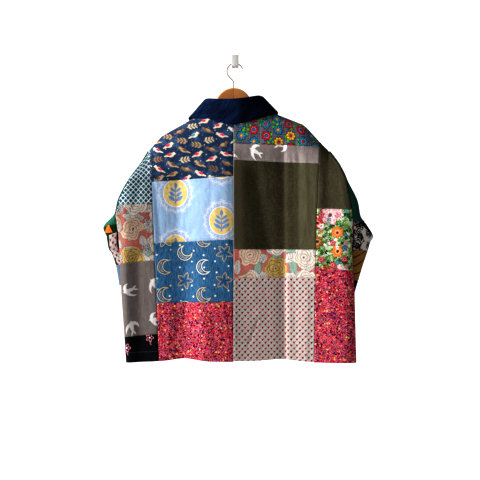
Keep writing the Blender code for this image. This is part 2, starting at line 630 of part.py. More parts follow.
def sleeve_row(row, sign):
    """The points of a strip across a sleeve, from behind round the outer fold to the front."""
    start, end = sleeve_ends(row, sign)
    if row.x_in is None:
        turns = [math.pi * k / (SLEEVE_POINTS - 1) for k in range(SLEEVE_POINTS)]
        rise = row.x_out - start[0]
        cap = [(start[0] + rise * math.sin(a), lerp(start[1], end[1], (1 - math.cos(a)) / 2)) for a in turns]
        return [(sign * x, y, row.z_out) for x, y in cap]
    half = (row.y_far - row.y_near) / 2
    corner = min(CORNER, (row.x_out - row.x_in) / 3, half)
    y_turn = lerp(start[1], row.y_far, 0.55)

    def height(x):
        share = (x - row.x_in) / max(row.x_out - row.x_in, 1e-6)
        return lerp(row.z_in, row.z_out, share)

    path = [start]
    for turn in (30, 60):
        a = math.radians(turn)
        share = math.sin(a)
        x = lerp(start[0], row.x_out, share)
        y = lerp(start[1], y_turn, 1 - math.cos(a))
        path.append((x, y, lerp(start[2], row.z_out, share)))
    path.append((row.x_out, y_turn, row.z_out))
    far = [(row.x_out - 0.3 * corner, lerp(y_turn, row.y_far, 0.75))]
    far += [(lerp(row.x_out - corner, row.x_in + half, t), row.y_far) for t in (0.0, 0.33, 0.67, 1.0)]
    turns = [math.radians(a) for a in (45, 90, 135)]
    fold = [(row.x_in + half * (1 - math.sin(a)), row.y_near + half * (1 + math.cos(a))) for a in turns]
    path += [(x, y, height(x)) for x, y in far + fold]
    last = (row.x_in + half, row.y_near, height(row.x_in + half))
    path.append(last)
    turned = (end[0], lerp(row.y_near, end[1], 0.3), end[2])
    path += [tuple(lerp(a, b, 0.5) for a, b in zip(last, turned)), turned, end]
    return [(sign * x, y, z) for x, y, z in path]


def build_sleeve(rows, patches, sign):
    middle = np.array([sleeve_row(row, sign) for row in rows])
    normals = grid_normals(middle) * sign
    outer = middle + normals * CLOTH / 2
    inner = middle - normals * CLOTH / 2
    last_row = len(rows) - 1
    for patch in patches:
        limits = patch.first_row, patch.last_row, patch.first_row > 0, patch.last_row < last_row, SLEEVE_CUT
        add_sheet(patch.name, trimmed(outer, *limits), trimmed(inner, *limits), patch.colour)


# ================================================================ collar
def collar_section(station):
    """Seven points from the stand's foot over the rolled fold to the edge of the fall."""
    foot_z = top_z(station.foot_x, station.front) + FOOT_GAP
    foot_y = sheet_y(station.foot_x, foot_z, station.front)
    foot = np.array((station.foot_x * FOOT_SHARE, foot_y, foot_z))
    fold = np.array(station.fold)
    edge = np.array(station.edge)
    out = unit(np.array((edge[0] - foot[0], edge[1] - foot[1], 0.0)))
    down = np.array((0.0, 0.0, -0.8 * COLLAR_ROLL))
    inside = fold - out * COLLAR_ROLL + down
    outside = fold + out * COLLAR_ROLL + down
    return [foot, lerp(foot, inside, 0.5), inside, fold, outside, lerp(outside, edge, 0.5), edge]


def build_collar():
    middle = np.array([collar_section(station) for station in COLLAR])
    normals = grid_normals(middle)
    outer = middle + normals * COLLAR_CLOTH / 2
    inner = middle - normals * COLLAR_CLOTH / 2
    add_sheet("collar", outer, inner, COLLAR_NAVY)


# ================================================================ hanger
def hanger_outline():
    """The board's outline seen from behind, as a loop of (x, z)."""

    def arm_top(x):
        side = SHOULDER_LEFT if x < 0 else SHOULDER_RIGHT
        clear = HANGER_CLEAR + HANGER_DIP * smoothstep((HANGER_DIP_X - abs(x)) / HANGER_DIP_RUN)
        if abs(x) >= abs(side[0].x):
            return z_at(side, x) - clear
        slope = (side[1].z - side[0].z) / (side[1].x - side[0].x)
        return side[0].z + slope * (x - side[0].x) - clear

    def arm(tip_x, steps):
        root_x = CENTRE_X + math.copysign(0.046, tip_x)
        xs = np.linspace(root_x, tip_x, steps)
        top = [(x, arm_top(x)) for x in xs]
        shares = np.linspace(0, 1, steps)
        depths = [lerp(HANGER_DEPTH_ROOT, HANGER_DEPTH_TIP, t) for t in shares]
        low = [(x, z - depth) for (x, z), depth in zip(top, depths)]
        tip_r = HANGER_DEPTH_TIP / 2
        out = math.copysign(1.0, tip_x)
        middle = (tip_x - out * tip_r * 0.6, top[-1][1] - tip_r)
        turns = [math.radians(a) for a in (60, 30, 0, -30, -60)]
        cap = [(middle[0] + out * tip_r * math.cos(a), middle[1] + tip_r * math.sin(a)) for a in turns]
        return top[:-1], cap, low[:-1]

    top_left, cap_left, low_left = arm(HANGER_LEFT_X, 7)
    top_right, cap_right, low_right = arm(HANGER_RIGHT_X, 7)
    start = math.atan2(top_left[0][1] - HANGER_DISC.z, top_left[0][0] - HANGER_DISC.x) % math.tau
    stop = math.atan2(top_right[0][1] - HANGER_DISC.z, top_right[0][0] - HANGER_DISC.x)
    turns = np.linspace(start, stop, 17)[1:-1]
    rim = HANGER_DISC_R
    disc = [(HANGER_DISC.x + rim * math.cos(a), HANGER_DISC.z + rim * math.sin(a)) for a in turns]
    foot = [(CENTRE_X, HANGER_FOOT_Z)]
    loop = disc + top_right + cap_right + low_right[::-1] + foot
    return loop + low_left + cap_left[::-1] + top_left[::-1]


def drawn_loop(loop, distance):
    """A loop, which runs clockwise, drawn in by a distance."""
    points = np.array(loop)
    step = np.roll(points, -1, axis=0) - np.roll(points, 1, axis=0)
    step /= np.linalg.norm(step, axis=1, keepdims=True)
    inward = np.stack((step[:, 1], -step[:, 0]), axis=1)
    return points + inward * distance


def add_lofted(name, rings, colour, roughness, metallic):
    """A closed solid through rings of points, with a flat cap at each end."""
    count = len(rings[0])
    vertices = [np.array(p) for ring in rings for p in ring]
    faces = [tuple(range(count)), tuple(range(len(vertices) - 1, len(vertices) - count - 1, -1))]
    for i in range(len(rings) - 1):
        for j in range(count):
            a, b = i * count + j, i * count + (j + 1) % count
            faces.append((b, a, a + count, b + count))
    if signed_volume(vertices, faces) < 0:
        faces = [face[::-1] for face in faces]
    return add_mesh(name, vertices, faces, colour, roughness, metallic)


def build_hanger():
    outline = hanger_outline()
    rings = []
    for offset, draw in HANGER_SECTION:
        loop = drawn_loop(outline, draw)
        rings.append([(x, RIDGE_Y + offset, z) for x, z in loop])
    add_lofted("hanger_wood", rings, WOOD, 0.45, 0.0)


def build_wire():
    """The hanger's own hook: round the bend from its tip, back to the middle and down the stem."""
    path = []
    for angle in np.linspace(WIRE_TIP_ANGLE, WIRE_TURN_ANGLE, 19):
        a = math.radians(angle)
        path.append((WIRE_CENTRE.x + WIRE_BEND_R * math.cos(a), WIRE_CENTRE.z + WIRE_BEND_R * math.sin(a)))
    turn = math.radians(WIRE_TURN_ANGLE + 90)
    heading = np.array((math.cos(turn), math.sin(turn)))
    end = np.array(path[-1])
    run = (HANGER_DISC.x - WIRE_NECK_R * (1 - heading[0]) - end[0]) / heading[0]
    neck = end + heading * run
    centre = neck + np.array((heading[1], -heading[0])) * WIRE_NECK_R
    for angle in (45, 30, 15, 0):
        a = math.radians(angle)
        path.append((centre[0] + WIRE_NECK_R * math.cos(a), centre[1] + WIRE_NECK_R * math.sin(a)))
    path.append((path[-1][0], HANGER_DISC.z + HANGER_DISC_R + WIRE_GAP))
    points = np.array(path)
    rings = []
    for i, point in enumerate(points):
        before, after = points[max(i - 1, 0)], points[min(i + 1, len(points) - 1)]
        along = unit(after - before)
        side = np.array((-along[1], along[0]))
        ring = []
        for k in range(WIRE_SIDES):
            a = math.tau * (k + 0.5) / WIRE_SIDES
            x, z = point + side * WIRE_R * math.cos(a)
            ring.append((x, RIDGE_Y + WIRE_R * math.sin(a), z))
        rings.append(ring)
    add_lofted("hanger_hook", rings, STEEL, 0.3, 1.0)


def build_wall_hook():
    """A bent strip: a plate flat on the wall, an arm, and a lip that stands up in front."""
    half = HOOK_THICK / 2
    bend = HOOK_BEND_R + half
    arm_z = HOOK_SEAT_Z - half
    back_y = -half
    lip_y = HOOK_LIP_Y + half
    middle = [(back_y, HOOK_PLATE_TOP_Z, 0.0)]
    for angle in (0, 22.5, 45, 67.5, 90):
        a = math.radians(angle)
        middle.append((back_y - bend + bend * math.cos(a), arm_z + bend - bend * math.sin(a), angle))
    for angle in (90, 112.5, 135, 157.5, 180):
        a = math.radians(angle)
        middle.append((lip_y + bend + bend * math.cos(a), arm_z + bend - bend * math.sin(a), angle))
    middle.append((lip_y, HOOK_LIP_TOP_Z, 180.0))
    rings = []
    for y, z, angle in middle:
        a = math.radians(angle)
        out_y, out_z = math.cos(a) * half, -math.sin(a) * half
        wide = HOOK_WIDTH / 2
        rings.append(
            [
                (-wide, y + out_y, z + out_z),
                (wide, y + out_y, z + out_z),
                (wide, y - out_y, z - out_z),
                (-wide, y - out_y, z - out_z),
            ]
        )
    add_lofted("wall_hook", rings, STEEL, 0.25, 1.0)


clear_scene()
build_body()
build_sleeve(SLEEVE_LEFT, SLEEVE_LEFT_PATCHES, -1)
build_sleeve(SLEEVE_RIGHT, SLEEVE_RIGHT_PATCHES, 1)
build_collar()
build_hanger()
build_wire()
build_wall_hook()
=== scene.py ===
"""Looks of the patchwork jacket on its hanger and wall hook.

Every CAD node is replaced by a finer piece of the same shape: a closed shell of cloth with its
seams turned in, its creases and its printed or woven pattern, and the finished hanger and hooks.
Metres, +Z up. The wall is the plane y = 0, the jacket's back looks along -Y, and "left" and
"right" are the viewer's when facing the back.
"""

import json
import math
from collections import namedtuple
from functools import reduce

import bpy
import numpy as np
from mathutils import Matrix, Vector


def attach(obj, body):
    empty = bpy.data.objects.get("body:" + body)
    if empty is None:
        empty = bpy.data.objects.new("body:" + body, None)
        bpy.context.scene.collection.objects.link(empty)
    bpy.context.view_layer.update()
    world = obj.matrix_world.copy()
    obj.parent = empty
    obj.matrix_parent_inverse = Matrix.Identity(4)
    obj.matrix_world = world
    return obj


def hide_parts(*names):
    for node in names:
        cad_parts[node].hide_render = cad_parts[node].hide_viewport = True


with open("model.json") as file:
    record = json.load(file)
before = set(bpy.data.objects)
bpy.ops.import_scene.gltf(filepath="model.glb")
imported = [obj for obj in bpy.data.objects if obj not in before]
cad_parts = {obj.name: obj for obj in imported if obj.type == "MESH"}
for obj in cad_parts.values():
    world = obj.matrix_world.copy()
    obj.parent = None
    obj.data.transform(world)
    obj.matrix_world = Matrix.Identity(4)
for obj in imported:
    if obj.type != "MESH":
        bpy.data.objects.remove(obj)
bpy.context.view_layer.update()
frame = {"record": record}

SLOT_OF = {part["node"]: part["material_slot"] for part in frame["record"]["subparts"]}

# ================================================================ the jacket's sizes
CLOTH = 0.0020  # wall of the cloth
COLLAR_CLOTH = 0.0026  # and of the collar
SEAM_GAP = 0.0003  # between the cloths on both sides of a seam
FOOT_GAP = 0.0018  # the collar's foot stands this far over the neckline's middle surface
FOOT_SHARE = 0.955  # and this share of the neckline's width apart

RIDGE_Y = -0.050  # plane of the hanger, and of the shoulder line that lies on it
BACK_Y = -0.080
BACK_HEM_Y = -0.087
FRONT_Y = -0.038
SIDE_Y = -0.059
BACK_ARCH = 0.090  # how far below the shoulder line the back reaches its full depth
FRONT_ARCH = 0.028
ARMHOLE_ARCH = 0.090

CENTRE_X = -0.004
NECK_HALF = 0.074
NECK_TOP_Z = -0.124
BACK_NECK_Z = -0.159
UNDERARM_Z = -0.487
HEM_Z = -0.854
FRONT_ARMHOLE_INSET = 0.010
BACK_LENS = 22  # the higher, the longer the cloth stays full towards its side seams
FRONT_LENS = 4

Point = namedtuple("Point", "x z")


def table(kind, *rows):
    return tuple(kind(*row) for row in rows)


SHOULDER_LEFT = table(
    Point,
    (-0.0740, -0.1425), (-0.1630, -0.1926), (-0.2055, -0.2167), (-0.2425, -0.2575),
)
SHOULDER_RIGHT = table(
    Point,
    (0.0740, -0.1380), (0.1588, -0.1714), (0.1893, -0.1834), (0.2016, -0.1926), (0.2380, -0.2325),
    (0.2620, -0.2565),
)
FRONT_NECK = table(
    Point,
    (0.0, -0.226), (0.030, -0.212), (0.054, -0.190), (0.0715, -0.160), (0.0740, -0.1380),
)
EDGE_LEFT = table(
    Point,
    (-0.2425, -0.2575), (-0.2470, -0.27), (-0.2655, -0.30), (-0.2955, -0.34), (-0.3215, -0.39),
    (-0.3345, -0.44), (-0.3290, UNDERARM_Z), (-0.3250, -0.54), (-0.3200, -0.66), (-0.3060, HEM_Z),
)
EDGE_RIGHT = table(
    Point,
    (0.2620, -0.2565), (0.2712, -0.27), (0.2922, -0.30), (0.3112, -0.34), (0.3209, -0.39),
    (0.3290, -0.44), (0.3310, UNDERARM_Z), (0.3285, -0.54), (0.3365, -0.66), (0.3410, HEM_Z),
)
SEAM_LEFT = table(Point, (-0.2385, -0.2525), (-0.2117, HEM_Z))
SEAM_RIGHT = table(Point, (0.2380, -0.2325), (0.2288, -0.44), (0.2215, HEM_Z))
CENTRE_BACK = table(Point, (CENTRE_X, -0.12), (CENTRE_X, HEM_Z))
OPENING_LEFT = table(Point, (CENTRE_X - 0.006, -0.20), (CENTRE_X - 0.012, HEM_Z))
OPENING_RIGHT = table(Point, (CENTRE_X + 0.006, -0.20), (CENTRE_X + 0.012, HEM_Z))

# From (x_top, z_top) to (x_low, z_low). A trough has depth > 0 and a ridge depth < 0.
Fold = namedtuple("Fold", "x_top z_top x_low z_low depth width_left width_right")
FOLD_FADE = 0.050
FOLD_POWER = 1.7  # of a fold's bell-shaped section
BACK_FOLDS = table(
    Fold,
    (0.138, -0.225, 0.143, -0.92, 0.0155, 0.095, 0.085),
    (0.186, -0.260, 0.188, -0.92, -0.0015, 0.026, 0.030),
    (0.328, -0.300, 0.336, -0.92, -0.0090, 0.055, 0.030),
    (0.258, -0.270, 0.266, -0.620, 0.0030, 0.018, 0.020),
    (-0.030, -0.240, -0.024, -0.560, -0.0095, 0.100, 0.034),
    (-0.022, -0.520, -0.018, -0.92, -0.0044, 0.040, 0.034),
    (-0.084, -0.540, -0.082, -0.92, -0.0078, 0.036, 0.066),
    (-0.142, -0.535, -0.138, -0.92, 0.0100, 0.056, 0.034),
    (-0.158, -0.300, -0.152, -0.575, 0.0065, 0.028, 0.062),
    (-0.162, -0.300, -0.156, -0.575, 0.0080, 0.085, 0.046),
    (-0.238, -0.310, -0.234, -0.580, 0.0066, 0.060, 0.120),
    (-0.308, -0.300, -0.302, -0.92, -0.0060, 0.012, 0.060),
    (-0.276, -0.520, -0.262, -0.92, 0.0150, 0.045, 0.034),
)
FRONT_FOLDS = table(
    Fold,
    (-0.120, -0.250, -0.138, -0.92, 0.0075, 0.034, 0.030),
    (-0.058, -0.400, -0.066, -0.92, 0.0050, 0.026, 0.030),
    (0.088, -0.300, 0.104, -0.92, 0.0080, 0.030, 0.036),
    (0.170, -0.260, 0.176, -0.620, 0.0050, 0.026, 0.028),
    (0.048, -0.500, 0.052, -0.92, 0.0040, 0.022, 0.024),
    (-0.262, -0.560, -0.254, -0.92, 0.0060, 0.026, 0.024),
    (0.286, -0.560, 0.280, -0.92, 0.0060, 0.026, 0.024),
)
# Smaller creases, which only the fine surface has.
CREASE_FADE = 0.030
BACK_CREASES = table(
    Fold,
    (0.048, -0.290, 0.100, -0.560, 0.0076, 0.030, 0.028),
    (0.078, -0.280, 0.088, -0.420, -0.0016, 0.010, 0.012),
    (0.137, -0.215, 0.142, -0.90, 0.0046, 0.020, 0.006),
    (0.179, -0.250, 0.180, -0.545, 0.0013, 0.007, 0.005),
    (0.196, -0.250, 0.203, -0.480, -0.0012, 0.009, 0.008),
    (0.157, -0.250, 0.166, -0.330, 0.0012, 0.006, 0.005),
    (0.174, -0.243, 0.181, -0.310, 0.0010, 0.005, 0.004),
    (0.072, -0.715, 0.030, -0.822, 0.0014, 0.004, 0.003),
    (0.166, -0.610, 0.172, -0.86, 0.0010, 0.008, 0.007),
    (0.205, -0.640, 0.198, -0.86, -0.0010, 0.010, 0.009),
    (-0.248, -0.340, -0.244, -0.560, -0.0026, 0.026, 0.030),
    (-0.232, -0.330, -0.205, -0.530, 0.0013, 0.010, 0.008),
    (-0.140, -0.340, -0.150, -0.500, -0.0011, 0.012, 0.009),
    (-0.066, -0.350, -0.070, -0.520, 0.0012, 0.010, 0.008),
    (-0.112, -0.465, -0.140, -0.560, 0.0011, 0.007, 0.006),
    (-0.086, -0.560, -0.080, -0.700, 0.0010, 0.010, 0.008),
    (-0.178, -0.690, -0.190, -0.86, -0.0013, 0.012, 0.010),
    (-0.060, -0.700, -0.052, -0.86, 0.0012, 0.012, 0.010),
    (-0.310, -0.600, -0.300, -0.780, -0.0012, 0.008, 0.006),
    (-0.244, -0.590, -0.240, -0.780, 0.0012, 0.007, 0.006),
    (-0.262, -0.330, -0.285, -0.440, 0.0012, 0.010, 0.008),
    (0.284, -0.330, 0.300, -0.470, 0.0012, 0.010, 0.010),
    (0.244, -0.300, 0.246, -0.420, -0.0010, 0.006, 0.005),
    (0.262, -0.600, 0.268, -0.82, -0.0012, 0.012, 0.010),
    (0.320, -0.520, 0.322, -0.700, 0.0012, 0.008, 0.006),
    (-0.190, -0.215, -0.150, -0.330, 0.0013, 0.012, 0.010),
    (-0.050, -0.190, -0.030, -0.320, 0.0010, 0.012, 0.012),
    (0.200, -0.205, 0.150, -0.250, 0.0011, 0.008, 0.007),
)
FRONT_CREASES = table(
    Fold,
    (-0.190, -0.300, -0.200, -0.620, 0.0020, 0.014, 0.010),
    (-0.090, -0.320, -0.084, -0.500, -0.0018, 0.012, 0.012),
    (-0.160, -0.600, -0.170, -0.88, -0.0020, 0.014, 0.012),
    (0.060, -0.320, 0.066, -0.560, -0.0018, 0.012, 0.012),
    (0.140, -0.560, 0.152, -0.88, 0.0020, 0.014, 0.012),
    (0.204, -0.420, 0.200, -0.800, -0.0016, 0.012, 0.012),
    (-0.285, -0.400, -0.275, -0.560, 0.0014, 0.010, 0.008),
    (0.300, -0.400, 0.292, -0.560, 0.0014, 0.010, 0.008),
)
Lift = namedtuple("Lift", "x rise width")
HEM_LIFTS = table(Lift, (-0.140, 0.008, 0.045), (0.130, 0.006, 0.050))

# z_left and z_right: where the patch's lower seam meets its column's sides. pucker is how far the
# cloth is drawn up along that seam.
Patch = namedtuple("Patch", "name z_left z_right pucker")
BACK_SIDE_LEFT = table(
    Patch,
    ("back_check", -0.4124, -0.4068, 0.0003),
    ("back_rose_side", -0.5768, -0.5667, 0.0004),
    ("back_grey_side", -0.7823, -0.7725, 0.0004),
    ("back_black_side", HEM_Z, -0.849, 0.0002),
)
BACK_MAIN_LEFT = table(
    Patch,
    ("back_navy_print", -0.3466, -0.3315, 0.0004),
    ("back_medallion", -0.5197, -0.5079, 0.0005),
    ("back_star_denim", -0.6860, -0.6826, 0.0004),
    ("back_red_left", -0.849, -0.850, 0.0003),
)
BACK_MAIN_RIGHT = table(
    Patch,
    ("back_flower_yoke", -0.2400, -0.2475, 0.0003),
    ("back_grey_yoke", -0.2860, -0.2960, 0.0010),
    ("back_olive", -0.5360, -0.5370, 0.0004),
    ("back_rose", -0.6160, -0.6150, 0.0004),
    ("back_hearts", -0.8475, -0.852, 0.0004),
)
BACK_SIDE_RIGHT = table(
    Patch,
    ("back_olive_side", -0.4214, -0.4248, 0.0004),
    ("back_garden_side", -0.5860, -0.5960, 0.0003),
    ("back_red_side", -0.853, HEM_Z, 0.0003),
)
FRONT_SIDE_LEFT = table(
    Patch,
    ("front_bottle_side", -0.425, -0.420, 0.0004),
    ("front_hearts_side", -0.640, -0.632, 0.0004),
    ("front_grey_side", HEM_Z, -0.850, 0.0003),
)
FRONT_MAIN_LEFT = table(
    Patch,
    ("front_rose", -0.352, -0.356, 0.0004),
    ("front_denim", -0.574, -0.570, 0.0005),
    ("front_red", -0.850, -0.850, 0.0003),
)
FRONT_MAIN_RIGHT = table(
    Patch,
    ("front_red_yoke", -0.318, -0.322, 0.0004),
    ("front_pale_blue", -0.512, -0.508, 0.0005),
    ("front_black", -0.850, -0.855, 0.0003),
)
FRONT_SIDE_RIGHT = table(
    Patch,
    ("front_red_side", -0.458, -0.462, 0.0004),
    ("front_olive_side", -0.685, -0.690, 0.0004),
    ("front_check_side", -0.853, HEM_Z, 0.0003),
)

# One flattened section of a sleeve, with x away from the centre. Above the underarm it starts and
# ends on the armhole's edges at edge_z. Below, both its ends are the underarm seam.
NEAR_Y = -0.0305
FAR_Y = -0.0085
ROW_FIELDS = "edge_z x_out z_out x_in z_in seam y_near y_far"
SleeveRow = namedtuple("SleeveRow", ROW_FIELDS, defaults=(None, None, None, NEAR_Y, FAR_Y))
SLEEVE_LEFT = table(
    SleeveRow,
    (-0.2605, 0.2480, -0.2605),
    (-0.27, 0.2520, -0.270, 0.2460, -0.270, None, -0.0335, -0.0290),
    (-0.30, 0.2700, -0.300, 0.2430, -0.302, None, -0.0320, -0.0200),
    (-0.34, 0.2980, -0.340, 0.2450, -0.345, None, -0.0310, -0.0120),
    (-0.39, 0.3280, -0.392, 0.2460, -0.400),
    (-0.428, 0.3370, -0.429, 0.2440, -0.440),
    (-0.44, 0.3425, -0.441, 0.2420, -0.452),
    (-0.465, 0.3715, -0.472, 0.2370, -0.478),
    (UNDERARM_Z, 0.3640, -0.500, 0.2310, -0.505, (0.3325, SIDE_Y, UNDERARM_Z)),
    (None, 0.3590, -0.533, 0.2240, -0.525, (0.3340, -0.0480, -0.520)),
    (None, 0.3495, -0.549, 0.2190, -0.540, (0.3280, -0.0400, -0.542)),
    (None, 0.3390, -0.582, 0.2090, -0.570, (0.3120, -0.0330, -0.578)),
    (None, 0.3285, -0.640, 0.1970, -0.620, (0.2960, NEAR_Y, -0.634)),
    (None, 0.3200, -0.668, 0.1890, -0.650, (0.2880, NEAR_Y, -0.663)),
    (None, 0.3090, -0.715, 0.1790, -0.692, (0.2770, NEAR_Y, -0.709)),
    (None, 0.2980, -0.762, 0.1700, -0.735, (0.2660, NEAR_Y, -0.755)),
    (None, 0.2880, -0.808, 0.1620, -0.780, (0.2560, NEAR_Y, -0.801)),
)
SLEEVE_RIGHT = table(
    SleeveRow,
    (-0.2605, 0.2690, -0.2605),
    (-0.27, 0.2765, -0.270, 0.2700, -0.270, None, -0.0335, -0.0290),
    (-0.30, 0.2965, -0.300, 0.2600, -0.302, None, -0.0320, -0.0200),
    (-0.34, 0.3150, -0.340, 0.2540, -0.345, None, -0.0310, -0.0120),
    (-0.39, 0.3450, -0.396, 0.2480, -0.400),
    (-0.44, 0.3545, -0.441, 0.2410, -0.452),
    (-0.458, 0.3670, -0.460, 0.2370, -0.472),
    (UNDERARM_Z, 0.3905, -0.496, 0.2300, -0.500, (0.3345, SIDE_Y, UNDERARM_Z)),
    (None, 0.3835, -0.517, 0.2260, -0.515, (0.3380, -0.0490, -0.514)),
    (None, 0.3770, -0.540, 0.2200, -0.535, (0.3330, -0.0410, -0.538)),
    (None, 0.3640, -0.580, 0.2090, -0.568, (0.3180, -0.0330, -0.576)),
    (None, 0.3500, -0.626, 0.1980, -0.608, (0.3040, NEAR_Y, -0.620)),
    (None, 0.3380, -0.668, 0.1880, -0.646, (0.2920, NEAR_Y, -0.661)),
    (None, 0.3250, -0.715, 0.1780, -0.690, (0.2790, NEAR_Y, -0.707)),
    (None, 0.3120, -0.762, 0.1690, -0.734, (0.2670, NEAR_Y, -0.754)),
    (None, 0.3000, -0.812, 0.1600, -0.780, (0.2550, NEAR_Y, -0.803)),
)
SleevePatch = namedtuple("SleevePatch", "name first_row last_row")
SLEEVE_LEFT_PATCHES = table(
    SleevePatch,
    ("sleeve_left_leaf", 0, 5),
    ("sleeve_left_teal", 5, 7),
    ("sleeve_left_bottle", 7, 8),
    ("sleeve_left_hearts", 8, 11),
    ("sleeve_left_blue", 11, 12),
    ("sleeve_left_grey", 12, 16),
)
SLEEVE_RIGHT_PATCHES = table(
    SleevePatch,
    ("sleeve_right_bottle", 0, 6),
    ("sleeve_right_toile", 6, 9),
    ("sleeve_right_brown", 9, 11),
    ("sleeve_right_black", 11, 15),
)
CORNER = 0.009
SLEEVE_POINTS = 16  # across a row of a sleeve
FOLD_TURN = 0.55  # share of the way to the far plane at which the outer fold stands upright
FOLD_LEAN = (0.3, 0.75)  # its next point: share of the corner in, and of the rest of the way back
FAR_SHARES = (0.0, 0.33, 0.67, 1.0)  # places of the points on the far plane
END_TURN = 0.3  # share of the way from the near plane to the strip's end at which it turns upright

# Stations from the centre back round to the front: the fold, and the edge of the fall.
Station = namedtuple("Station", "foot_x front fold edge")
NECK_IN = 0.0715
COLLAR = table(
    Station,
    (-0.010, True, (-0.022, -0.0285, -0.206), (-0.074, -0.0320, -0.278)),
    (-0.030, True, (-0.054, -0.0275, -0.164), (-0.104, -0.0320, -0.218)),
    (-0.054, True, (-0.079, -0.0340, -0.130), (-0.126, -0.0320, -0.180)),
    (-NECK_IN, True, (-0.0855, -0.0420, -0.1230), (-0.1300, -0.0395, -0.1710)),
    (-0.0725, False, (-0.088, -0.0500, -0.1185), (-0.1310, -0.0500, -0.1660)),
    (-0.062, False, (-0.078, -0.0640, -0.1135), (-0.1160, -0.0690, -0.1665)),
    (-0.048, False, (-0.058, -0.0715, -0.1145), (-0.0800, -0.0785, -0.1690)),
    (-0.028, False, (-0.034, -0.0760, -0.1160), (-0.0450, -0.0830, -0.1810)),
    (CENTRE_X, False, (CENTRE_X, -0.0775, -0.1160), (CENTRE_X, -0.0842, -0.1868)),
    (0.022, False, (0.026, -0.0760, -0.1125), (0.0350, -0.0830, -0.1800)),
    (0.044, False, (0.050, -0.0715, -0.1075), (0.0710, -0.0785, -0.1690)),
    (0.060, False, (0.069, -0.0640, -0.1050), (0.1050, -0.0695, -0.1575)),
    (0.0725, False, (0.082, -0.0500, -0.1100), (0.1210, -0.0500, -0.1500)),
    (NECK_IN, True, (0.0790, -0.0415, -0.1155), (0.1205, -0.0395, -0.1590)),
    (0.054, True, (0.072, -0.0340, -0.1240), (0.1170, -0.0320, -0.1700)),
    (0.030, True, (0.047, -0.0275, -0.1600), (0.0980, -0.0320, -0.2140)),
    (0.002, True, (0.014, -0.0285, -0.206), (0.0660, -0.0320, -0.278)),
)
COLLAR_ROLL = 0.0040  # radius of the collar's rolled fold
COLLAR_DROP = 0.8  # how far below the fold its sides are, in those radii

HANGER_DISC = Point(CENTRE_X, -0.1321)
HANGER_DISC_R = 0.0515
HANGER_CLEAR = 0.0023
HANGER_DIP = 0.0100
HANGER_DIP_X = 0.095
HANGER_DIP_RUN = 0.030
HANGER_LEFT_X = -0.2040
HANGER_RIGHT_X = 0.2000
HANGER_DEPTH_ROOT = 0.044
HANGER_DEPTH_TIP = 0.024
HANGER_FOOT_Z = -0.196
HANGER_HALF = 0.0050  # half the board's thickness
HANGER_ROUND = 0.0034  # rounding of its edges
HANGER_ROOT = 0.046  # from the middle to the start of an arm
HANGER_STEPS = 31  # points along an arm
HANGER_TIP_IN = 0.6  # how far in from an arm's end its round tip is centred, in its radii

WIRE_R = 0.0017
WIRE_CENTRE = Point(-0.0005, -0.0340)
WIRE_BEND_R = 0.0224
WIRE_TIP_ANGLE = 20
WIRE_TURN_ANGLE = 225
WIRE_SIDES = 16
WIRE_NECK_R = 0.012
WIRE_GAP = 0.0003  # between the wire's foot and the board

HOOK_WIDTH = 0.020
HOOK_THICK = 0.0025
HOOK_SEAT_Z = -0.0162
HOOK_LIP_Y = -0.0575
HOOK_LIP_TOP_Z = 0.0129
HOOK_PLATE_TOP_Z = 0.0133
HOOK_BEND_R = 0.0030
HOOK_EDGE = 0.0005  # rounding of the strip's edges
HOOK_ENDS = (0.0004, 0.003)  # where the strip's end sections lie, from its ends
SMOOTH_ANGLE = 40  # edges sharper than this stay sharp
WIRE_SMOOTH_ANGLE = 50
CLOTH_SMOOTH_ANGLE = 58

# ---------------------------------------------------------------- the fine surface
BACK_STEP = 0.0033  # between points on the back
FRONT_STEP = 0.0060
SLEEVE_STEP = 0.0050
COLLAR_STEP = 0.0032
EDGE_STEP = 0.0006  # the first step in from a seam, from which the steps grow
EDGE_GROWTH = 1.6
GROOVE = 0.0008  # how far a seam's edge turns in
GROOVE_WIDTH = 0.0013
ALLOWANCE = 0.00035  # how far the seam allowance below lifts the cloth
ALLOWANCE_WIDTH = 0.0085
BAND_RISE = 0.002  # how far from its edge such a raised band is at its full height
BAND_FALL = 0.003
PUCKER_REACH = 0.013
SIDE_PUCKER = 0.00022
HEM_DEPTH = 0.036  # the turned-up hem
HEM_RISE = 0.0004
SLEEVE_PUCKER = 0.0004
# Lengths and shares of the waves in an uneven line.
WAVES = ((0.037, 0.35), (0.021, 0.30), (0.0125, 0.25), (0.008, 0.10))


# ================================================================ small tools
def lerp(a, b, t):
    return a + (b - a) * t


def smoothstep(t):
    t = np.clip(t, 0.0, 1.0)
    return t * t * (3 - 2 * t)


def arch(depth, length):
    """A quarter of an ellipse: 0 at its top and 1 from length downwards."""
    share = 1 - np.clip(depth / length, 0.0, 1.0)
    return np.sqrt(1 - share * share)


def x_at(line, z):
    return np.interp(-np.asarray(z), [-p.z for p in line], [p.x for p in line])


def z_at(line, x):
    points = sorted(line)
    return np.interp(x, [p.x for p in points], [p.z for p in points])


def units(vectors):
    return vectors / np.maximum(np.linalg.norm(vectors, axis=-1, keepdims=True), 1e-12)


def stations(length, step):
    """Shares of a length, close together at both ends, where a seam turns in."""
    ends, gap = [0.0], EDGE_STEP
    while gap < step and ends[-1] + gap < length / 3:
        ends.append(ends[-1] + gap)
        gap *= EDGE_GROWTH
    middle = length - 2 * ends[-1]
    count = max(round(middle / step), 1)
    run = [ends[-1] + middle * k / count for k in range(1, count)]
    return np.array(ends + run + [length - e for e in reversed(ends)]) / length


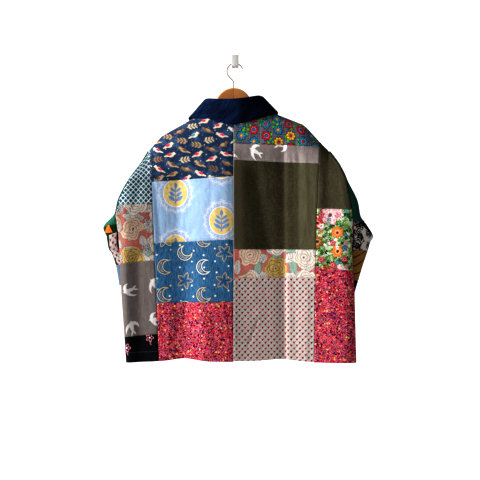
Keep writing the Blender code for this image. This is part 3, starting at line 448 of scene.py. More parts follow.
def uneven(t, seed):
    """An irregular wave along t, between about -1 and 1."""
    total = 0.0
    for number, (length, share) in enumerate(WAVES):
        stretch = 1 + 0.13 * math.sin(seed + number)
        turns = t / (length * stretch) + seed * 0.618 + number * 0.377
        total = total + share * np.sin(math.tau * turns)
    return total * (0.6 + 0.4 * np.sin(math.tau * t / 0.19 + seed))


def spline(points, places):
    """Points read from a smooth curve through points, along their first axis."""
    last = len(points) - 2
    start = np.clip(np.floor(places).astype(int), 0, last)
    t = (places - start).reshape(-1, *(1,) * (points.ndim - 1))
    a, b = points[start], points[start + 1]
    before = np.where((start > 0).reshape(t.shape), points[np.maximum(start - 1, 0)], 2 * a - b)
    beyond = points[np.minimum(start + 2, last + 1)]
    after = np.where((start < last).reshape(t.shape), beyond, 2 * b - a)
    return 0.5 * (
        2 * a
        + (b - before) * t
        + (2 * before - 5 * a + 4 * b - after) * t**2
        + (3 * a - before - 3 * b + after) * t**3
    )


def grid_normals(grid, rows, columns):
    """Unit normals of a grid of points. rows and columns are the places of its lines."""
    along = np.gradient(grid, rows, axis=0)
    across = np.gradient(grid, columns, axis=1)
    return units(np.cross(along, across))


def arc(centre, radius, turns):
    """Points round a centre, at some angles."""
    return [(centre[0] + radius * math.cos(a), centre[1] + radius * math.sin(a)) for a in turns]


def degrees(first, last, count):
    """Angles in even steps between two that are given in degrees."""
    return np.radians(np.linspace(first, last, count))


def lengths(grid, axis):
    """How far along the cloth each point of a grid is, down an axis."""
    steps = np.linalg.norm(np.diff(grid, axis=axis), axis=2)
    start = np.zeros_like(steps.take([0], axis))
    return np.concatenate((start, np.cumsum(steps, axis=axis)), axis=axis)


# ================================================================ pieces
# The face of a cloth: its points, the way they look, and their distances in from each of its edges.
Face = namedtuple("Face", "points normals edges")
FACES = {}
SIDES = ("upper", "lower", "left", "right")


def new_mesh(name, vertices, faces, smooth_angle=None):
    """A smooth mesh, whose edges stay sharp where they turn more than an angle in degrees."""
    mesh = bpy.data.meshes.new(name)
    mesh.from_pydata(vertices, [], faces)
    mesh.shade_smooth()
    if smooth_angle:
        mesh.set_sharp_from_angle(angle=math.radians(smooth_angle))
    return mesh


def add_piece(name, mesh, nodes, materials):
    for made in materials:
        mesh.materials.append(made)
    piece = bpy.data.objects.new(name, mesh)
    bpy.context.scene.collection.objects.link(piece)
    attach(piece, "root")
    if nodes:
        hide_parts(*nodes)
    return piece


def grid_quads(rows, columns, start):
    """Faces between the points of a grid, which are numbered from start."""
    index = np.arange(rows * columns).reshape(rows, columns) + start
    quads = np.stack((index[:-1, :-1], index[:-1, 1:], index[1:, 1:], index[1:, :-1]), axis=-1)
    return quads.reshape(-1, 4)


def rim_loop(rows, columns):
    """The numbers of a grid's outermost points, in order round it."""
    index = np.arange(rows * columns).reshape(rows, columns)
    return np.concatenate((index[0, :], index[1:, -1], index[-1, -2::-1], index[-2:0:-1, 0]))


def closed_volume(vertices, quads):
    """A measure of a closed mesh's volume, below zero where its faces look inwards."""
    a, b, c, d = (vertices[quads[:, k]] for k in range(4))
    cones = np.cross(b, c) + np.cross(c, d)
    return float(np.sum(a * cones))


def cloth_mesh(name, outer, inner, flat):
    """A closed shell between two grids. flat holds each point's place on the cut cloth."""
    rows, columns, _ = outer.shape
    count = rows * columns
    vertices = np.concatenate((outer.reshape(-1, 3), inner.reshape(-1, 3)))
    face = grid_quads(rows, columns, 0)
    back = grid_quads(rows, columns, count)[:, ::-1]
    rim = rim_loop(rows, columns)
    ahead = np.roll(rim, -1)
    edge = np.stack((ahead, rim, rim + count, ahead + count), axis=-1)
    quads = np.concatenate((face, edge, back))
    if closed_volume(vertices, quads) < 0:
        quads = quads[:, ::-1]
    mesh = new_mesh(name, vertices.tolist(), quads.tolist(), CLOTH_SMOOTH_ANGLE)
    wrong_side = np.arange(len(quads)) >= len(face) + len(edge)
    mesh.polygons.foreach_set("material_index", wrong_side.astype(np.int32))
    places = np.tile(flat.reshape(-1, 2), (2, 1))[quads.ravel()]
    mesh.uv_layers.new(name="cloth").data.foreach_set("uv", places.astype(np.float32).ravel())
    return mesh


def add_cloth(name, outer, inner, flat):
    """A patch of cloth that stands for its CAD node, with its print laid on the cut that its seams
    give.
    """
    slot = SLOT_OF[name]
    mesh = cloth_mesh(name, outer, inner, flat + np.array(PRINT_SHIFTS.get(name, (0.0, 0.0))))
    cloths = CLOTHS[slot]
    # patches with painted light or shade, or a print of their own, get a material of their own
    if name in PAINTED_LIGHT_AND_SHADE or name in OWN_PRINTS:
        own = OWN_PRINTS.get(name, PRINTS[slot])
        cloths = [cloth_material(f"{slot}_{name}", *own, tone=PAINTED_LIGHT_AND_SHADE.get(name, 1.0)), cloths[1]]
    piece = add_piece(f"{name}_cloth", mesh, [name], cloths)


# ================================================================ the body's middle surface
def shoulder_z(x):
    """Height of the shoulder line, carried on over the neck."""
    side = np.where(x < 0, z_at(SHOULDER_LEFT, x), z_at(SHOULDER_RIGHT, x))
    neck_z = np.where(x < 0, SHOULDER_LEFT[0].z, SHOULDER_RIGHT[0].z)
    over = lerp(NECK_TOP_Z, neck_z, (x / NECK_HALF) ** 2)
    return np.where(np.abs(x) >= NECK_HALF, side, over)


def top_z(x, front):
    """The upper edge of the body's cloth: neckline, then shoulder line."""
    side_z = np.where(x < 0, SHOULDER_LEFT[0].z, SHOULDER_RIGHT[0].z)
    if front:
        neck = z_at(FRONT_NECK, np.abs(x)) + side_z - FRONT_NECK[-1].z
    else:
        neck = lerp(BACK_NECK_Z, side_z, (x / NECK_HALF) ** 2)
    return np.where(np.abs(x) >= NECK_HALF, shoulder_z(x), neck)


def folds_at(folds, fade, x, z):
    """How deep some folds are at places on a sheet."""
    total = np.zeros_like(x + z)
    for fold in folds:
        strength = smoothstep((fold.z_top - z) / fade) * smoothstep((z - fold.z_low) / fade)
        off = x - lerp(fold.x_top, fold.x_low, (fold.z_top - z) / (fold.z_top - fold.z_low))
        width = np.where(off < 0, fold.width_left, fold.width_right)
        total += fold.depth * strength * np.exp(-((np.abs(off) / width) ** FOLD_POWER))
    return total


def sheet_y(x, z, front, creased=True):
    """y of the back's or the fronts' middle surface."""
    down = (z - UNDERARM_Z) / (HEM_Z - UNDERARM_Z)
    plane = FRONT_Y if front else lerp(BACK_Y, BACK_HEM_Y, smoothstep(down))
    edge = np.where(x < CENTRE_X, x_at(EDGE_LEFT, z), x_at(EDGE_RIGHT, z))
    across = np.minimum(np.abs(x / edge), 1.0)
    lens = np.sqrt(np.maximum(1 - across ** (FRONT_LENS if front else BACK_LENS), 0.0))
    fullness = lens + (1 - lens) * arch(z - UNDERARM_Z, ARMHOLE_ARCH)
    fold = folds_at(FRONT_FOLDS if front else BACK_FOLDS, FOLD_FADE, x, z)
    if creased:
        fold = fold + folds_at(FRONT_CREASES if front else BACK_CREASES, CREASE_FADE, x, z)
    hung = SIDE_Y + (plane - SIDE_Y) * fullness + (-fold if front else fold) * lens
    return lerp(RIDGE_Y, hung, arch(shoulder_z(x) - z, FRONT_ARCH if front else BACK_ARCH))


def front_armhole(edge):
    """The front's edge line: the back's, cut deeper between the shoulder tip and the underarm."""
    moved = []
    for p in edge:
        t = (edge[0].z - p.z) / (edge[0].z - UNDERARM_Z)
        inset = FRONT_ARMHOLE_INSET * math.sin(math.pi * t) if 0 < t < 1 else 0.0
        moved.append(Point(p.x - math.copysign(inset, p.x), p.z))
    return tuple(moved)


def hem_lift(x):
    """How far the hem is drawn up."""
    return sum(lift.rise * np.exp(-(((x - lift.x) / lift.width) ** 2)) for lift in HEM_LIFTS)


# ================================================================ columns of patches
# free is the side, -1 or 1, on which a column ends in an armhole and side seam, or 0.
Column = namedtuple("Column", "left right patches front free")
COLUMNS = (
    Column(EDGE_LEFT, SEAM_LEFT, BACK_SIDE_LEFT, False, -1),
    Column(SEAM_LEFT, CENTRE_BACK, BACK_MAIN_LEFT, False, 0),
    Column(CENTRE_BACK, SEAM_RIGHT, BACK_MAIN_RIGHT, False, 0),
    Column(SEAM_RIGHT, EDGE_RIGHT, BACK_SIDE_RIGHT, False, 1),
    Column(front_armhole(EDGE_LEFT), SEAM_LEFT, FRONT_SIDE_LEFT, True, -1),
    Column(SEAM_LEFT, OPENING_LEFT, FRONT_MAIN_LEFT, True, 0),
    Column(OPENING_RIGHT, SEAM_RIGHT, FRONT_MAIN_RIGHT, True, 0),
    Column(SEAM_RIGHT, front_armhole(EDGE_RIGHT), FRONT_SIDE_RIGHT, True, 1),
)


def patch_places(column, number):
    """x and z of a patch's points, with the heights of its upper and lower edge."""
    patch = column.patches[number]
    is_last = number == len(column.patches) - 1
    half = SEAM_GAP / 2
    step = FRONT_STEP if column.front else BACK_STEP
    z_top = patch_top(column, number)
    width = abs(x_at(column.right, patch.z_right) - x_at(column.left, patch.z_left))
    across = stations(width, step)
    down = stations(max(z_top) - min(patch.z_left, patch.z_right), step)
    x_low = lerp(x_at(column.left, patch.z_left), x_at(column.right, patch.z_right), across)
    low = lerp(patch.z_left, patch.z_right, across) + (hem_lift(x_low) if is_last else half)
    if number == 0:
        high = top_z(lerp(column.left[0].x, column.right[0].x, across), column.front)
    else:
        high = lerp(*z_top, across) - half
    z = lerp(high[None, :], low[None, :], down[:, None])
    x = lerp(x_at(column.left, z) + half, x_at(column.right, z) - half, across[None, :])
    return x, z, high, low, down, across


def patch_top(column, number):
    """z of a patch's upper edge at the sides of its column."""
    if number > 0:
        above = column.patches[number - 1]
        return above.z_left, above.z_right
    return tuple(float(top_z(side[0].x, column.front)) for side in (column.left, column.right))


def seam_edges(column, x, z, high, low):
    """Distances in from the edges at which a patch is sewn or turned in."""
    return high[None, :] - z, z - low[None, :], x - x_at(column.left, z), x_at(column.right, z) - x


def puckered(column, number, index, x, z, edges):
    """How far the seams' stitching draws the cloth out and in."""

    def drawn(amount, edge, along, seed):
        return amount * np.exp(-edge / PUCKER_REACH) * uneven(along, seed)

    upper, lower, left, right = edges
    total = drawn(column.patches[number].pucker, lower, x, 7 * index + number)
    if number > 0:
        total += drawn(column.patches[number - 1].pucker, upper, x, 7 * index + number - 1)
    if column.free >= 0:
        total += drawn(SIDE_PUCKER, left, z, 50 + index)
    if column.free <= 0:
        total += drawn(SIDE_PUCKER, right, z, 51 + index)
    return total


def seam_relief(edges):
    """What a seam adds to the face of the cloth: a turned-in edge beside a slightly raised band."""
    nearest = np.minimum.reduce(edges)
    band = smoothstep(nearest / BAND_RISE) * smoothstep((ALLOWANCE_WIDTH - nearest) / BAND_FALL)
    return ALLOWANCE * band - GROOVE * np.exp(-((nearest / GROOVE_WIDTH) ** 2))


def build_patch(column, number, index):
    """A patch of the body. Its side and shoulder edges lie on planes that both cloths share."""
    x, z, high, low, down, across = patch_places(column, number)
    edges = seam_edges(column, x, z, high, low)
    outward = 1.0 if column.front else -1.0
    y = sheet_y(x, z, column.front) + outward * puckered(column, number, index, x, z, edges)
    at_shoulder = (np.abs(x[0]) > NECK_HALF - SEAM_GAP) & (number == 0)
    y[0] = np.where(at_shoulder, RIDGE_Y + outward * SEAM_GAP / 2, y[0])
    if column.free:
        side = 0 if column.free < 0 else -1
        below = z[:, side] <= UNDERARM_Z
        y[:, side] = np.where(below, SIDE_Y + outward * SEAM_GAP / 2, y[:, side])
    middle = np.stack((x, y, z), axis=-1)
    normals = grid_normals(middle, down, across) * -outward
    normals = np.where(normals[..., 1:2] * outward < 0, -normals, normals)
    run = units(np.gradient(middle[0], axis=0) * (1, 0, 1))
    over = np.stack((-run[:, 2], np.zeros(len(run)), run[:, 0]), axis=-1)
    normals[0] = np.where(at_shoulder[:, None], over, normals[0])
    normals[:, [0, -1], 0] = 0
    normals = units(normals)
    if column.free:
        normals[:, side] = np.where(below[:, None], (column.free, 0, 0), normals[:, side])
    relief = seam_relief(edges)
    if number == len(column.patches) - 1:
        relief = relief + HEM_RISE * smoothstep((HEM_DEPTH - edges[1]) / BAND_RISE)
    outer = middle + normals * (CLOTH / 2 + relief[..., None])
    inner = middle - normals * CLOTH / 2
    flat_x = x[:, :1] + lengths(middle, 1)
    flat_z = z[-1:] + lengths(middle[::-1], 0)[::-1]
    flat = np.stack((flat_x, flat_z), axis=-1)
    name = column.patches[number].name
    FACES[name] = Face(outer, normals, edges)
    add_cloth(name, outer, inner, flat)


def build_body():
    for index, column in enumerate(COLUMNS):
        for number in range(len(column.patches)):
            build_patch(column, number, index)


# ================================================================ sleeves
def sleeve_ends(row, sign):
    """Where a row's strip begins, behind, and ends, in front. x is away from the centre."""
    if row.seam:
        x, y, z = row.seam
        half = SEAM_GAP / 2
        return (x, y - half - CLOTH / 2, z), (x, y + half, z)
    edge = EDGE_LEFT if sign < 0 else EDGE_RIGHT
    x_back = abs(x_at(edge, row.edge_z))
    x_front = abs(x_at(front_armhole(edge), row.edge_z))
    y_back, y_front = (
        float(sheet_y(np.array(sign * x), np.array(row.edge_z), front, creased=False))
        for x, front in ((x_back, False), (x_front, True))
    )
    clear = CLOTH / 2 + SEAM_GAP / 2
    return (x_back + clear, y_back, row.edge_z), (x_front + clear, y_front, row.edge_z)


def sleeve_row(row, sign):
    """The points of a strip across a sleeve, from behind round the outer fold to the front."""
    start, end = sleeve_ends(row, sign)
    if row.x_in is None:
        turns = np.linspace(0, math.pi, SLEEVE_POINTS)
        rise = row.x_out - start[0]
        ys = [lerp(start[1], end[1], (1 - math.cos(a)) / 2) for a in turns]
        return [(sign * (start[0] + rise * math.sin(a)), y, row.z_out) for a, y in zip(turns, ys)]
    half = (row.y_far - row.y_near) / 2
    corner = min(CORNER, (row.x_out - row.x_in) / 3, half)
    y_turn = lerp(start[1], row.y_far, FOLD_TURN)

    def height(x):
        share = (x - row.x_in) / max(row.x_out - row.x_in, 1e-6)
        return lerp(row.z_in, row.z_out, share)

    path = [start]
    for turn in (30, 60):
        a = math.radians(turn)
        share = math.sin(a)
        x = lerp(start[0], row.x_out, share)
        y = lerp(start[1], y_turn, 1 - math.cos(a))
        path.append((x, y, lerp(start[2], row.z_out, share)))
    path.append((row.x_out, y_turn, row.z_out))
    far = [(row.x_out - FOLD_LEAN[0] * corner, lerp(y_turn, row.y_far, FOLD_LEAN[1]))]
    far += [(lerp(row.x_out - corner, row.x_in + half, t), row.y_far) for t in FAR_SHARES]
    turns = [math.radians(a) for a in (45, 90, 135)]
    fold = [
        (row.x_in + half * (1 - math.sin(a)), row.y_near + half * (1 + math.cos(a))) for a in turns
    ]
    path += [(x, y, height(x)) for x, y in far + fold]
    last = (row.x_in + half, row.y_near, height(row.x_in + half))
    path.append(last)
    turned = (end[0], lerp(row.y_near, end[1], END_TURN), end[2])
    path += [tuple(lerp(a, b, 0.5) for a, b in zip(last, turned)), turned, end]
    return [(sign * x, y, z) for x, y, z in path]


def resampled(grid, first, last, step):
    """A finer grid between rows of a coarse one, its lines' places and distances to its edges."""
    rows = grid[first : last + 1]
    long_way = float(lengths(rows, 0)[-1].mean())
    wide_way = float(lengths(rows, 1)[:, -1].mean())
    down = stations(long_way, step)
    across = stations(wide_way, step)
    fine = spline(grid, first + down * (last - first))
    fine = spline(fine.transpose(1, 0, 2), across * (grid.shape[1] - 1)).transpose(1, 0, 2)
    spans = [(share * long_way)[:, None] for share in (down, 1 - down)]
    spans += [(share * wide_way)[None, :] for share in (across, 1 - across)]
    return fine, down, across, [np.broadcast_to(span, fine.shape[:2]) for span in spans]


def build_sleeve(rows, patches, sign):
    coarse = np.array([sleeve_row(row, sign) for row in rows])
    for number, patch in enumerate(patches):
        first, last = patch.first_row, patch.last_row
        middle, down, across, edges = resampled(coarse, first, last, SLEEVE_STEP)
        normals = grid_normals(middle, down, across) * sign
        x = middle[..., 0]
        draw = sum(np.exp(-edges[k] / PUCKER_REACH) * uneven(x, 90 + number + k) for k in (0, 1))
        relief = seam_relief(edges) + SLEEVE_PUCKER * draw
        outer = middle + normals * (CLOTH / 2 + relief[..., None])
        inner = middle - normals * CLOTH / 2
        height = middle[0, :, 2].mean() - lengths(middle, 0).mean(axis=1, keepdims=True)
        flat = np.stack(np.broadcast_arrays(lengths(middle, 1), height), axis=-1)
        add_cloth(patch.name, outer, inner, flat)


# ================================================================ collar
def collar_section(station):
    """Seven points from the stand's foot over the rolled fold to the edge of the fall."""
    foot_x = np.array(station.foot_x)
    foot_z = top_z(foot_x, station.front) + FOOT_GAP
    foot_y = sheet_y(foot_x, foot_z, station.front, creased=False)
    foot = np.array((station.foot_x * FOOT_SHARE, foot_y, foot_z), dtype=float)
    fold = np.array(station.fold)
    edge = np.array(station.edge)
    out = units(np.array((edge[0] - foot[0], edge[1] - foot[1], 0.0)))
    down = np.array((0.0, 0.0, -COLLAR_DROP * COLLAR_ROLL))
    inside = fold - out * COLLAR_ROLL + down
    outside = fold + out * COLLAR_ROLL + down
    return [foot, lerp(foot, inside, 0.5), inside, fold, outside, lerp(outside, edge, 0.5), edge]


def build_collar():
    coarse = np.array([collar_section(station) for station in COLLAR])
    middle, down, across, edges = resampled(coarse, 0, len(COLLAR) - 1, COLLAR_STEP)
    out = grid_normals(middle, down, across) * (COLLAR_CLOTH / 2 + seam_relief(edges)[..., None])
    flat = np.stack((lengths(middle, 0), lengths(middle, 1)), axis=-1)
    add_cloth("collar", middle + out, middle - out, flat)


# ================================================================ hanger and hooks
def ring_quads(rings, count):
    index = np.arange(rings * count).reshape(rings, count)
    ahead = np.roll(index, -1, axis=1)
    quads = np.stack((index[:-1], ahead[:-1], ahead[1:], index[1:]), axis=-1)
    return quads.reshape(-1, 4)


def lofted_mesh(name, rings, smooth_angle):
    """A closed solid through rings of points, with a cap at each end."""
    rings = np.asarray(rings, dtype=float)
    vertices = rings.reshape(-1, 3)
    count = rings.shape[1]
    quads = ring_quads(len(rings), count)
    caps = [list(range(count))[::-1], list(range(len(vertices) - count, len(vertices)))]
    faces = quads.tolist() + caps
    if closed_volume(vertices - vertices.mean(axis=0), quads) < 0:
        faces = [face[::-1] for face in faces]
    return new_mesh(name, vertices.tolist(), faces, smooth_angle)


def arm_top(x):
    """Height of a hanger arm's top, which lies under the shoulder line and dips beside the neck."""
    side = SHOULDER_LEFT if x < 0 else SHOULDER_RIGHT
    clear = HANGER_CLEAR + HANGER_DIP * float(smoothstep((HANGER_DIP_X - abs(x)) / HANGER_DIP_RUN))
    if abs(x) >= abs(side[0].x):
        return float(z_at(side, x)) - clear
    slope = (side[1].z - side[0].z) / (side[1].x - side[0].x)
    return side[0].z + slope * (x - side[0].x) - clear


def hanger_arm(tip_x):
    """An arm's top, round tip and underside, the first and last from the middle outwards."""
    out = math.copysign(1.0, tip_x)
    top = [(x, arm_top(x)) for x in np.linspace(CENTRE_X + out * HANGER_ROOT, tip_x, HANGER_STEPS)]
    depths = np.linspace(HANGER_DEPTH_ROOT, HANGER_DEPTH_TIP, HANGER_STEPS)
    low = [(x, z - depth) for (x, z), depth in zip(top, depths)]
    tip_r = HANGER_DEPTH_TIP / 2
    middle_x, middle_z = tip_x - out * tip_r * HANGER_TIP_IN, top[-1][1] - tip_r
    tip_arc = arc((0.0, 0.0), tip_r, degrees(75, -75, 11))
    tip = [(middle_x + out * x, middle_z + z) for x, z in tip_arc]
    return top[:-1], tip, low[:-1]


def hanger_outline():
    """The board's outline seen from behind, as a loop of (x, z)."""
    top_left, tip_left, low_left = hanger_arm(HANGER_LEFT_X)
    top_right, tip_right, low_right = hanger_arm(HANGER_RIGHT_X)
    start = math.atan2(top_left[0][1] - HANGER_DISC.z, top_left[0][0] - HANGER_DISC.x) % math.tau
    stop = math.atan2(top_right[0][1] - HANGER_DISC.z, top_right[0][0] - HANGER_DISC.x)
    disc_rim = arc(HANGER_DISC, HANGER_DISC_R, np.linspace(start, stop, 65)[1:-1])
    right = top_right + tip_right + low_right[::-1]
    left = low_left + tip_left[::-1] + top_left[::-1]
    return disc_rim + right + [(CENTRE_X, HANGER_FOOT_Z)] + left


def drawn_loop(loop, distance):
    """A loop, which runs clockwise, drawn in by a distance."""
    points = np.array(loop)
    step = units(np.roll(points, -1, axis=0) - np.roll(points, 1, axis=0))
    return points + np.stack((step[:, 1], -step[:, 0]), axis=1) * distance


def build_hanger():
    outline = hanger_outline()
    flat = HANGER_HALF - HANGER_ROUND
    turns = degrees(90, 0, 6)
    section = [(flat + HANGER_ROUND * math.sin(a), HANGER_ROUND * (1 - math.cos(a))) for a in turns]
    section += [(-offset, draw) for offset, draw in section[::-1]]
    rings = []
    for offset, draw in section:
        loop = drawn_loop(outline, draw)
        ring_y = np.full(len(loop), RIDGE_Y + offset)
        rings.append(np.stack((loop[:, 0], ring_y, loop[:, 1]), axis=1))
    mesh = lofted_mesh("hanger_wood", rings, SMOOTH_ANGLE)
    add_piece("hanger_wood_board", mesh, ["hanger_wood"], [WOOD])


def tube_rings(path, radius, sides):
    """Rings round a path of points that lies in a plane y = constant."""
    path = np.array(path, dtype=float)
    along = units(np.gradient(path, axis=0))
    side = np.stack((-along[:, 2], np.zeros(len(path)), along[:, 0]), axis=1)
    turns = math.tau * np.arange(sides) / sides
    around = np.cos(turns)[None, :, None] * side[:, None, :]
    return path[:, None, :] + radius * (around + np.sin(turns)[None, :, None] * (0, 1, 0))


def build_wire():
    """The hanger's own hook: round the bend from its tip, back to the middle and down the stem."""
    path = arc(WIRE_CENTRE, WIRE_BEND_R, degrees(WIRE_TIP_ANGLE, WIRE_TURN_ANGLE, 73))
    turn = math.radians(WIRE_TURN_ANGLE + 90)
    heading = np.array((math.cos(turn), math.sin(turn)))
    run = (HANGER_DISC.x - WIRE_NECK_R * (1 - heading[0]) - path[-1][0]) / heading[0]
    neck = np.array(path[-1]) + heading * run
    centre = neck + np.array((heading[1], -heading[0])) * WIRE_NECK_R
    path += arc(centre, WIRE_NECK_R, degrees(45, 0, 12))
    stem_x, stem_z = path[-1]
    foot_z = HANGER_DISC.z + HANGER_DISC_R + WIRE_GAP
    path += [(stem_x, z) for z in np.linspace(stem_z, foot_z, 8)[1:]]
    rings = tube_rings([(x, RIDGE_Y, z) for x, z in path], WIRE_R, WIRE_SIDES)
    tip = rings[0].mean(axis=0)
    outward = units((rings[0] - rings[1]).mean(axis=0)) * WIRE_R
    turns = degrees(15, 75, 4)
    dome = [tip + (rings[0] - tip) * math.sin(a) + outward * math.cos(a) for a in turns]
    mesh = lofted_mesh("hanger_hook", np.concatenate((dome, rings)), WIRE_SMOOTH_ANGLE)
    add_piece("hanger_hook_wire", mesh, ["hanger_hook"], [WIRE_STEEL])


def build_wall_hook():
    """A bent strip: a plate flat on the wall, an arm, and a lip that stands up in front."""
    half = HOOK_THICK / 2
    bend = HOOK_BEND_R + half
    bend_z = HOOK_SEAT_Z - half + bend
    plate_y, lip_y = -half, HOOK_LIP_Y + half
    middle = [(plate_y, HOOK_PLATE_TOP_Z - inset, 0.0) for inset in HOOK_ENDS]
    for bend_y, start in ((plate_y - bend, 0), (lip_y + bend, 90)):
        for a in degrees(start, start + 90, 13):
            middle.append((bend_y + bend * math.cos(a), bend_z - bend * math.sin(a), a))
    middle += [(lip_y, HOOK_LIP_TOP_Z - inset, math.pi) for inset in HOOK_ENDS[::-1]]
    wide, thick = HOOK_WIDTH / 2 - HOOK_EDGE, half - HOOK_EDGE
    section = []
    corners = ((-wide, thick, 180), (wide, thick, 90), (wide, -thick, 0), (-wide, -thick, -90))
    for x, out, start in corners:
        section += arc((x, out), HOOK_EDGE, degrees(start, start - 90, 4))
    rings = [
        [(x, y + out * math.cos(a), z - out * math.sin(a)) for x, out in section]
        for y, z, a in middle
    ]
    mesh = lofted_mesh("wall_hook", rings, SMOOTH_ANGLE)
    add_piece("wall_hook_strip", mesh, ["wall_hook"], [HOOK_STEEL])


# ================================================================ stitches
STITCH = 0.0026  # length of a stitch
STITCH_PITCH = 0.0034
STITCH_R = 0.00026
STITCH_SIDES = 5
STITCH_LIFT = 0.4  # how far over the cloth a stitch runs, in its radii
STITCH_RINGS = (0.0, 0.2, 0.8, 1.0)  # its ends, which dip into the cloth, and the rings between
ROW_INSET = 0.002  # from the cloth's corner to the first stitch


def read_along(places, known, values):
    """Values read at places between the known ones, with a column for each of their parts."""
    return np.stack([np.interp(places, known, column) for column in values.T], axis=-1)


def seam_path(face, side, distance):
    """Points and normals along a cloth's face, at a distance in from one of its edges."""
    points, normals, measure = face.points, face.normals, face.edges[SIDES.index(side)]
    if side in ("left", "right"):
        points, normals, measure = points.transpose(1, 0, 2), normals.transpose(1, 0, 2), measure.T
    path = []
    for column in range(points.shape[1]):
        order = np.argsort(measure[:, column])
        values = np.concatenate((points[order, column], normals[order, column]), axis=1)
        path.append(read_along(distance, measure[order, column], values))
    path = np.array(path)
    return path[:, :3], path[:, 3:]


def stitch_run(face, side, distance):
    """Vertices and faces of a row of stitches."""
    points, normals = seam_path(face, side, distance)
    gone = np.concatenate(([0.0], np.cumsum(np.linalg.norm(np.diff(points, axis=0), axis=1))))
    run = gone[-1] - 2 * ROW_INSET
    count = int(run / STITCH_PITCH)
    starts = ROW_INSET + (np.arange(count) + 0.5) * run / count - STITCH / 2
    vertices, faces = [], []
    angles = np.linspace(0, math.tau, STITCH_SIDES, endpoint=False)
    for begin in starts:
        at = read_along(begin + STITCH * np.array(STITCH_RINGS), gone, points)
        out = units(read_along(begin, gone, normals))
        beside = units(np.cross(at[3] - at[0], out))
        start = len(vertices)
        vertices.append(at[0] - out * STITCH_R)
        for middle in at[1:3]:
            around = [beside * math.cos(a) + out * (STITCH_LIFT + math.sin(a)) for a in angles]
            vertices += [middle + STITCH_R * way for way in around]
        vertices.append(at[3] - out * STITCH_R)
        end = start + 1 + 2 * STITCH_SIDES
        for number in range(STITCH_SIDES):
            a, b = start + 1 + number, start + 1 + (number + 1) % STITCH_SIDES
            c, d = b + STITCH_SIDES, a + STITCH_SIDES
            faces += [(start, b, a), (a, b, c, d), (d, c, end)]
    return vertices, faces


def build_stitches():
    """One piece of stitches for each edge of a patch that is topstitched."""
    for row in STITCHING:
        vertices, faces = [], []
        for distance in row.distances:
            more, their_faces = stitch_run(FACES[row.cloth], row.side, distance)
            faces += [tuple(k + len(vertices) for k in face) for face in their_faces]
            vertices += more
        name = f"stitches_{row.cloth}_{row.side}"
        mesh = new_mesh(name, [tuple(map(float, v)) for v in vertices], faces)
        add_piece(name, mesh, [], [THREADS[row.thread]])


# ================================================================ working out patterns in materials
class Term:
    """A number or colour that a material works out at each point of the cloth."""

    def __init__(self, socket):
        self.socket = socket
        self.tree = socket.id_data

    def __add__(self, other):
        return calc("ADD", self, other)

    def __sub__(self, other):
        return calc("SUBTRACT", self, other)

    def __rsub__(self, other):
        return calc("SUBTRACT", other, self)

    def __mul__(self, other):
        return calc("MULTIPLY", self, other)

    def __truediv__(self, other):
        return calc("DIVIDE", self, other)

    def __neg__(self):
        return calc("MULTIPLY", self, -1.0)

    def __abs__(self):
        return calc("ABSOLUTE", self)

    __radd__ = __add__
    __rmul__ = __mul__


def screen(levels):
    """A colour as materials hold it, from its usual screen levels from 0 to 255."""
    shares = [level / 255 for level in levels]
    return tuple(s / 12.92 if s <= 0.04045 else ((s + 0.055) / 1.055) ** 2.4 for s in shares)


def set_inputs(node, inputs):
    """Sets a node's inputs, by name or number, to terms or values. Colours are screen levels."""
    for key, value in inputs.items():
        if isinstance(value, Term):
            value.tree.links.new(value.socket, node.inputs[key])
        elif isinstance(value, tuple):
            node.inputs[key].default_value = (*screen(value), 1.0)
        else:
            node.inputs[key].default_value = value


def add_node(tree, kind, inputs, **settings):
    made = tree.nodes.new(kind)
    for key, value in settings.items():
        setattr(made, key, value)
    set_inputs(made, inputs)
    return made


def calc(operation, *values):
    tree = next(value.tree for value in values if isinstance(value, Term))
    made = add_node(tree, "ShaderNodeMath", dict(enumerate(values)), operation=operation)
    return Term(made.outputs[0])


def sine(angle):
    return calc("SINE", angle)


def cosine(angle):
    return calc("COSINE", angle)


def whole(number):
    return calc("FLOOR", number)


def centred(number):
    """How far a number is past the middle between its neighbouring whole numbers."""
    return number - whole(number) - 0.5


def least(*terms):
    return reduce(lambda a, b: calc("MINIMUM", a, b), terms)


def most(*terms):
    return reduce(lambda a, b: calc("MAXIMUM", a, b), terms)


def inside(distance, soft=0.0003):
    """1 where a distance to an outline is below zero, and 0 outside."""
    inputs = {"Value": distance, "From Min": soft, "From Max": -soft}
    made = add_node(distance.tree, "ShaderNodeMapRange", inputs, interpolation_type="SMOOTHSTEP")
    return Term(made.outputs["Result"])


def some(chance, share):
    """1 in a share of a pattern's repeats, by one of their random numbers, and 0 in the rest."""
    return inside(chance - share, 0.0001)


def either(mask, there, elsewhere):
    return there * mask + elsewhere * (1.0 - mask)


def painted(under, *coats):
    """A colour with others laid over it, each where its mask is 1."""
    for colour, mask in coats:
        inputs = {0: mask, 6: under, 7: colour}
        under = Term(add_node(mask.tree, "ShaderNodeMix", inputs, data_type="RGBA").outputs[2])
    return under


def picked(chance, colours):
    """One of several colours, by a number from 0 to 1."""
    made = add_node(chance.tree, "ShaderNodeValToRGB", {0: chance})
    ramp = made.color_ramp
    ramp.interpolation = "CONSTANT"
    while len(ramp.elements) < len(colours):
        ramp.elements.new(1.0)
    for number, (element, colour) in enumerate(zip(ramp.elements, colours)):
        element.position = number / len(colours)
        element.color = (*screen(colour), 1.0)
    return Term(made.outputs["Color"])


def place(x, y, z=0.0):
    return Term(add_node(x.tree, "ShaderNodeCombineXYZ", {0: x, 1: y, 2: z}).outputs[0])


def parts(vector):
    made = add_node(vector.tree, "ShaderNodeSeparateXYZ", {0: vector})
    return tuple(Term(made.outputs[k]) for k in range(3))


def noises(u, v, per_metre, detail, seed):
    inputs = {"Vector": place(u, v, seed), "Scale": per_metre, "Detail": detail}
    return add_node(u.tree, "ShaderNodeTexNoise", inputs).outputs


